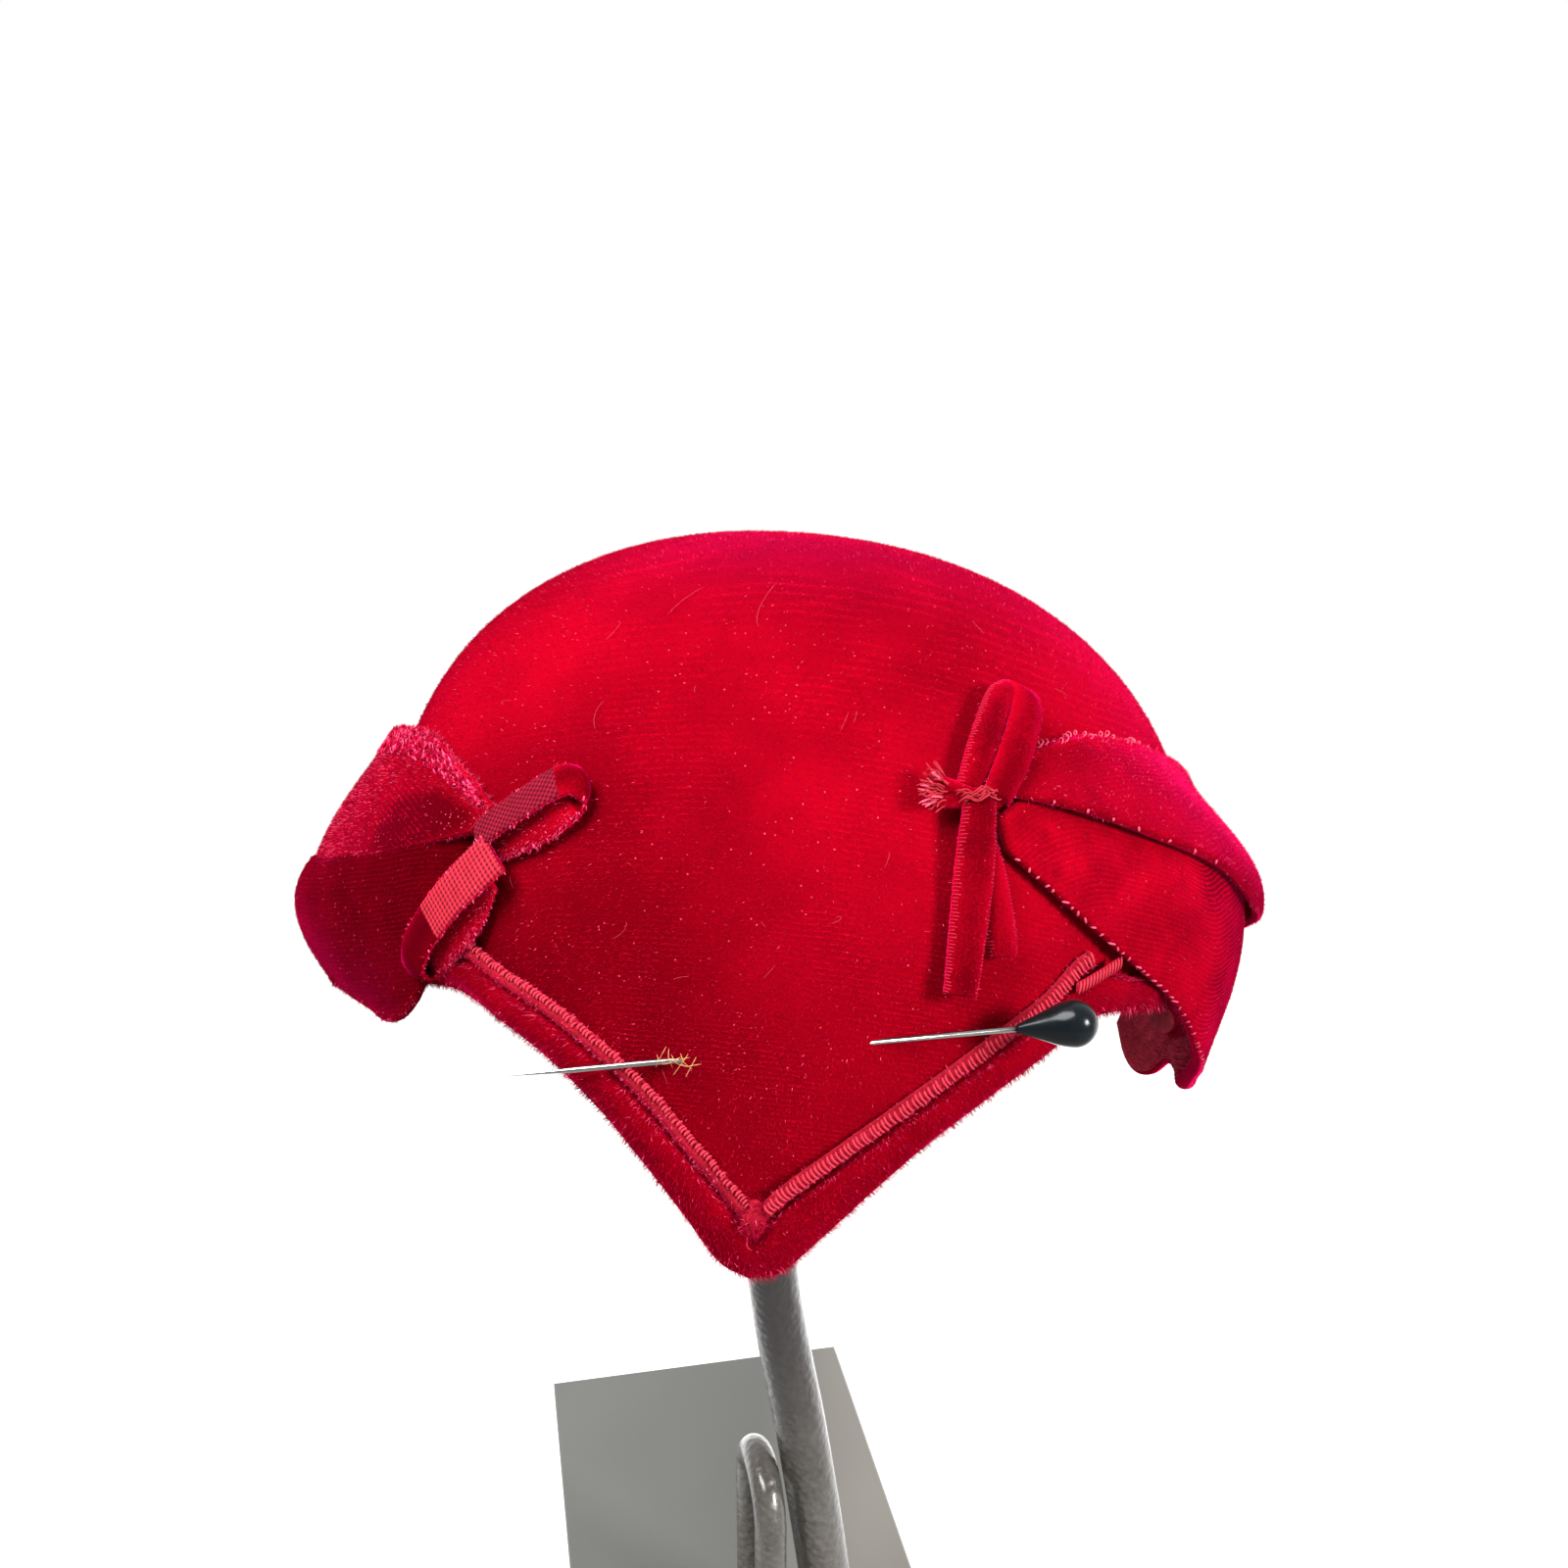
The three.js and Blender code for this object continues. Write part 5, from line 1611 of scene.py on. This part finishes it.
class TOQUE_OT_stand(bpy.types.Operator):
    """Make the bent stem and the arched rod, and paint the plate"""

    bl_idname = "toque.stand"
    bl_label = "Stand"

    def execute(self, context):
        look = context.scene.toque_stand
        iron = self.iron_finish(look)
        foot = PLATE_TOP + GAP
        end = STEM_END - STEM_TOP_RADIUS
        angle = np.linspace(0, math.pi / 2, 9)[1:]
        height = np.concatenate([np.linspace(foot, end, STEM_RINGS), end + STEM_TOP_RADIUS * np.sin(angle)])
        taper = STEM_FOOT_RADIUS + (STEM_TOP_RADIUS - STEM_FOOT_RADIUS) * (height - foot) / (end - foot)
        radius = np.concatenate([taper[:STEM_RINGS], np.maximum(STEM_TOP_RADIUS * np.cos(angle), 0.05)])
        across = value_at(STEM, "across", height, "height")
        middle = np.stack([across, np.full(len(height), HAT_CENTRE[1]), height], -1)
        self.add_rod("stand_stem_iron", middle, [0, 1.0, 0], radius, iron, "stand_stem")
        half = math.pi * CURL_HALF_SPAN
        straight = CURL_STRAIGHT - foot
        run = np.linspace(0, 2 * straight + half, 200)
        arc = np.clip((run - straight) / CURL_HALF_SPAN, 0, math.pi)
        swing = -np.cos(arc)
        height = np.where(run < straight, foot + run, CURL_STRAIGHT + CURL_HALF_SPAN * np.sin(arc))
        height = np.where(run > straight + half, foot + 2 * straight + half - run, height)
        across = CURL_FRONT_ACROSS * (1 + swing) / 2 + CURL_BACK_ACROSS * (1 - swing) / 2
        middle = np.stack([across, HAT_CENTRE[1] - swing * CURL_HALF_SPAN, height], -1)
        flat = [2 * CURL_HALF_SPAN, CURL_FRONT_ACROSS - CURL_BACK_ACROSS, 0]
        self.add_rod("stand_curl_iron", middle, flat, np.full(len(run), CURL_RADIUS), iron, "stand_curl")
        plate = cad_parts["stand_base"]
        plate.data.materials.clear()
        plate.data.materials.append(self.plate_finish(look))
        return {"FINISHED"}

    def add_rod(self, name, middle, flat, radius, finish, node):
        """A round rod along a line that bends in one plane, which flat is square to."""
        ahead = unit(np.gradient(middle, axis=0))
        side = unit(np.cross(ahead, flat))
        spread = circles(side, np.cross(side, ahead), ROD_SIDES)
        loops = middle[:, None] + spread * radius[:, None, None]
        add_piece(name, loops * MM, section_faces(loops), [finish], replaces=[node], slot="stem_metal")

    def iron_finish(self, look):
        """Dark hammered paint, blended paler low on the stem and rod as painted light, and left dark up under
        the hat as painted shade.
        """
        made, tree, shader = new_finish(
            "Hammered paint", Specular_IOR_Level=0.2, Coat_Weight=0.6, Coat_Roughness=0.2,
        )
        tone = uneven(tree, look.iron, 9.0, 1.6, 1.3)
        place = millimetres(tree)
        height = add_node(tree, "ShaderNodeSeparateXYZ", {0: place}).outputs[2]
        # Painted light low on the stem and rod, painted shade up under the hat
        wear_and_painted_light = times(tree, ranged(tree, height, 130.0, 20.0), tone["Level"])
        tree.links.new(blend(tree, wear_and_painted_light, tone["Color"], rgba(look.wear_and_painted_light)), shader["Base Color"])
        tree.links.new(ranged(tree, tone["Level"], 0.3, 0.7, 0.24, 0.46), shader["Roughness"])
        inputs = {"Vector": place, "Scale": 0.55, "Smoothness": 0.7}
        cells = add_node(tree, "ShaderNodeTexVoronoi", inputs, feature="SMOOTH_F1")
        height = plus(tree, cells.outputs["Distance"], times(tree, tone["Level"], 0.4))
        add_relief(tree, shader, height, 0.55, 0.8)
        return made

    def plate_finish(self, look):
        """Satin grey paint with fine grain, and painted light towards its right side."""
        made, tree, shader = new_finish("Satin paint")
        tone = uneven(tree, look.plate, 40.0, 0.9, 0.5)
        # Painted light towards the plate's right side
        across = add_node(tree, "ShaderNodeSeparateXYZ", {0: millimetres(tree)}).outputs[0]
        painted_light_right = ranged(tree, across, -5.0, 40.0)
        tree.links.new(blend(tree, painted_light_right, tone["Color"], rgba(look.painted_light_right)), shader["Base Color"])
        tree.links.new(ranged(tree, tone["Level"], 0.3, 0.7, 0.42, 0.58), shader["Roughness"])
        add_relief(tree, shader, tone["Level"], 0.15, 0.2)
        return made


class TOQUE_OT_stage(bpy.types.Operator):
    """Make the floor, the light and the camera"""

    bl_idname = "toque.stage"
    bl_label = "Stage"

    def execute(self, context):
        look = context.scene.toque_stage
        scene = context.scene
        scene.view_settings.view_transform = "Standard"
        mesh = bpy.data.meshes.new("floor")
        corners = [(x * FLOOR_REACH, y * FLOOR_REACH, 0) for x, y in ((-1, -1), (1, -1), (1, 1), (-1, 1))]
        mesh.from_pydata(corners, [], [(0, 1, 2, 3)])
        floor = bpy.data.objects.new("floor", mesh)
        scene.collection.objects.link(floor)
        finish, tree, shader = new_finish(
            "Pale floor", Base_Color=(0.25, 0.25, 0.25, 1.0), Roughness=0.9, Specular_IOR_Level=0.0,
            Emission_Color=(1.0, 1.0, 1.0, 1.0),
        )
        place = add_node(tree, "ShaderNodeTexCoord").outputs["Object"]
        place = add_node(tree, "ShaderNodeSeparateXYZ", {0: place}).outputs
        mirrored = ranged(tree, place[1], -0.1, 0.15, 0.25, 2.6)
        tree.links.new(self.seen_white(tree, look.floor_light, mirrored), shader["Emission Strength"])
        mesh.materials.append(finish)
        world = bpy.data.worlds.new("Pale room")
        world.use_nodes = True
        tree = world.node_tree
        backdrop = tree.nodes["Background"].inputs
        backdrop["Color"].default_value = (1, 1, 1, 1)
        way = add_node(tree, "ShaderNodeTexCoord").outputs["Generated"]
        way = add_node(tree, "ShaderNodeSeparateXYZ", {0: way}).outputs
        behind = ranged(tree, way[1], -0.2, 0.7)
        low = ranged(tree, way[2], 0.1, 0.6, 1.0, 0.0)
        glow = times(tree, times(tree, behind, low), look.back_light)
        strength = plus(tree, glow, look.room_light)
        mirrored = ranged(tree, way[1], -0.1, 0.6, 0.4, 1.6)
        tree.links.new(self.seen_white(tree, strength, mirrored), backdrop["Strength"])
        scene.world = world
        target = HAT_CENTRE * MM
        self.add_light("top_light", TOP_LIGHT_PLACE, target, TOP_LIGHT_SIZE, look.top_power)
        self.add_light("right_light", RIGHT_LIGHT_PLACE, target, RIGHT_LIGHT_SIZE, look.right_power)
        camera = bpy.data.objects.new("camera", bpy.data.cameras.new("camera"))
        camera.data.sensor_width = 36
        camera.data.lens = look.lens
        camera.location = look.place
        camera.rotation_euler = look.turn
        camera.data.clip_start = 0.01
        scene.collection.objects.link(camera)
        scene.camera = camera
        return {"FINISHED"}

    def seen_white(self, tree, strength, mirrored):
        """White to the eye, as a lit backdrop is, with strengths of its own as light and in reflections."""
        path = add_node(tree, "ShaderNodeLightPath").outputs
        light = ranged(tree, path["Is Glossy Ray"], 0.0, 1.0, strength, mirrored)
        return ranged(tree, path["Is Camera Ray"], 0.0, 1.0, light, 1.0)

    def add_light(self, name, place, target, size, power):
        """A square soft light aimed at a point."""
        light = bpy.data.lights.new(name, "AREA")
        light.energy = power
        light.size = size
        lamp = bpy.data.objects.new(name, light)
        back = unit(np.array(place) - np.array(target))
        tilt = math.acos(back[2])
        lamp.location = place
        lamp.rotation_euler = (tilt, 0, math.atan2(back[1], back[0]) + math.pi / 2)
        bpy.context.scene.collection.objects.link(lamp)


OPERATORS = (
    TOQUE_OT_crown,
    TOQUE_OT_edge_band,
    TOQUE_OT_piping,
    TOQUE_OT_wings,
    TOQUE_OT_bows,
    TOQUE_OT_stitches,
    TOQUE_OT_lint,
    TOQUE_OT_hatpin,
    TOQUE_OT_stand,
    TOQUE_OT_stage,
)


GROUPS = (
    ("toque_velvet", VelvetLook),
    ("toque_ribbon", RibbonLook),
    ("toque_stand", StandLook),
    ("toque_stage", StageLook),
)


class TOQUE_PT_panel(bpy.types.Panel):
    """Lists the steps that build the toque"""

    bl_idname = "TOQUE_PT_panel"
    bl_label = "Toque"
    bl_space_type = "VIEW_3D"
    bl_region_type = "UI"
    bl_category = "Toque"

    def draw(self, context):
        for step in OPERATORS:
            self.layout.operator(step.bl_idname)
        for group, kind in GROUPS:
            for name in kind.__annotations__:
                self.layout.prop(getattr(context.scene, group), name)


def register():
    """Make the classes and the scene's properties known."""
    for name, group in GROUPS:
        bpy.utils.register_class(group)
        setattr(bpy.types.Scene, name, bpy.props.PointerProperty(type=group))
    for step in (*OPERATORS, TOQUE_PT_panel):
        bpy.utils.register_class(step)


def unregister():
    """Take the classes and the scene's properties away."""
    for step in reversed((*OPERATORS, TOQUE_PT_panel)):
        bpy.utils.unregister_class(step)
    for name, group in reversed(GROUPS):
        delattr(bpy.types.Scene, name)
        bpy.utils.unregister_class(group)


def main():
    """Build the toque."""
    register()
    bpy.ops.toque.crown()
    bpy.ops.toque.edge_band()
    bpy.ops.toque.piping()
    bpy.ops.toque.wings()
    bpy.ops.toque.bows()
    bpy.ops.toque.stitches()
    bpy.ops.toque.lint()
    bpy.ops.toque.hatpin()
    bpy.ops.toque.stand()
    bpy.ops.toque.stage()


if __name__ == "__main__":
    main()
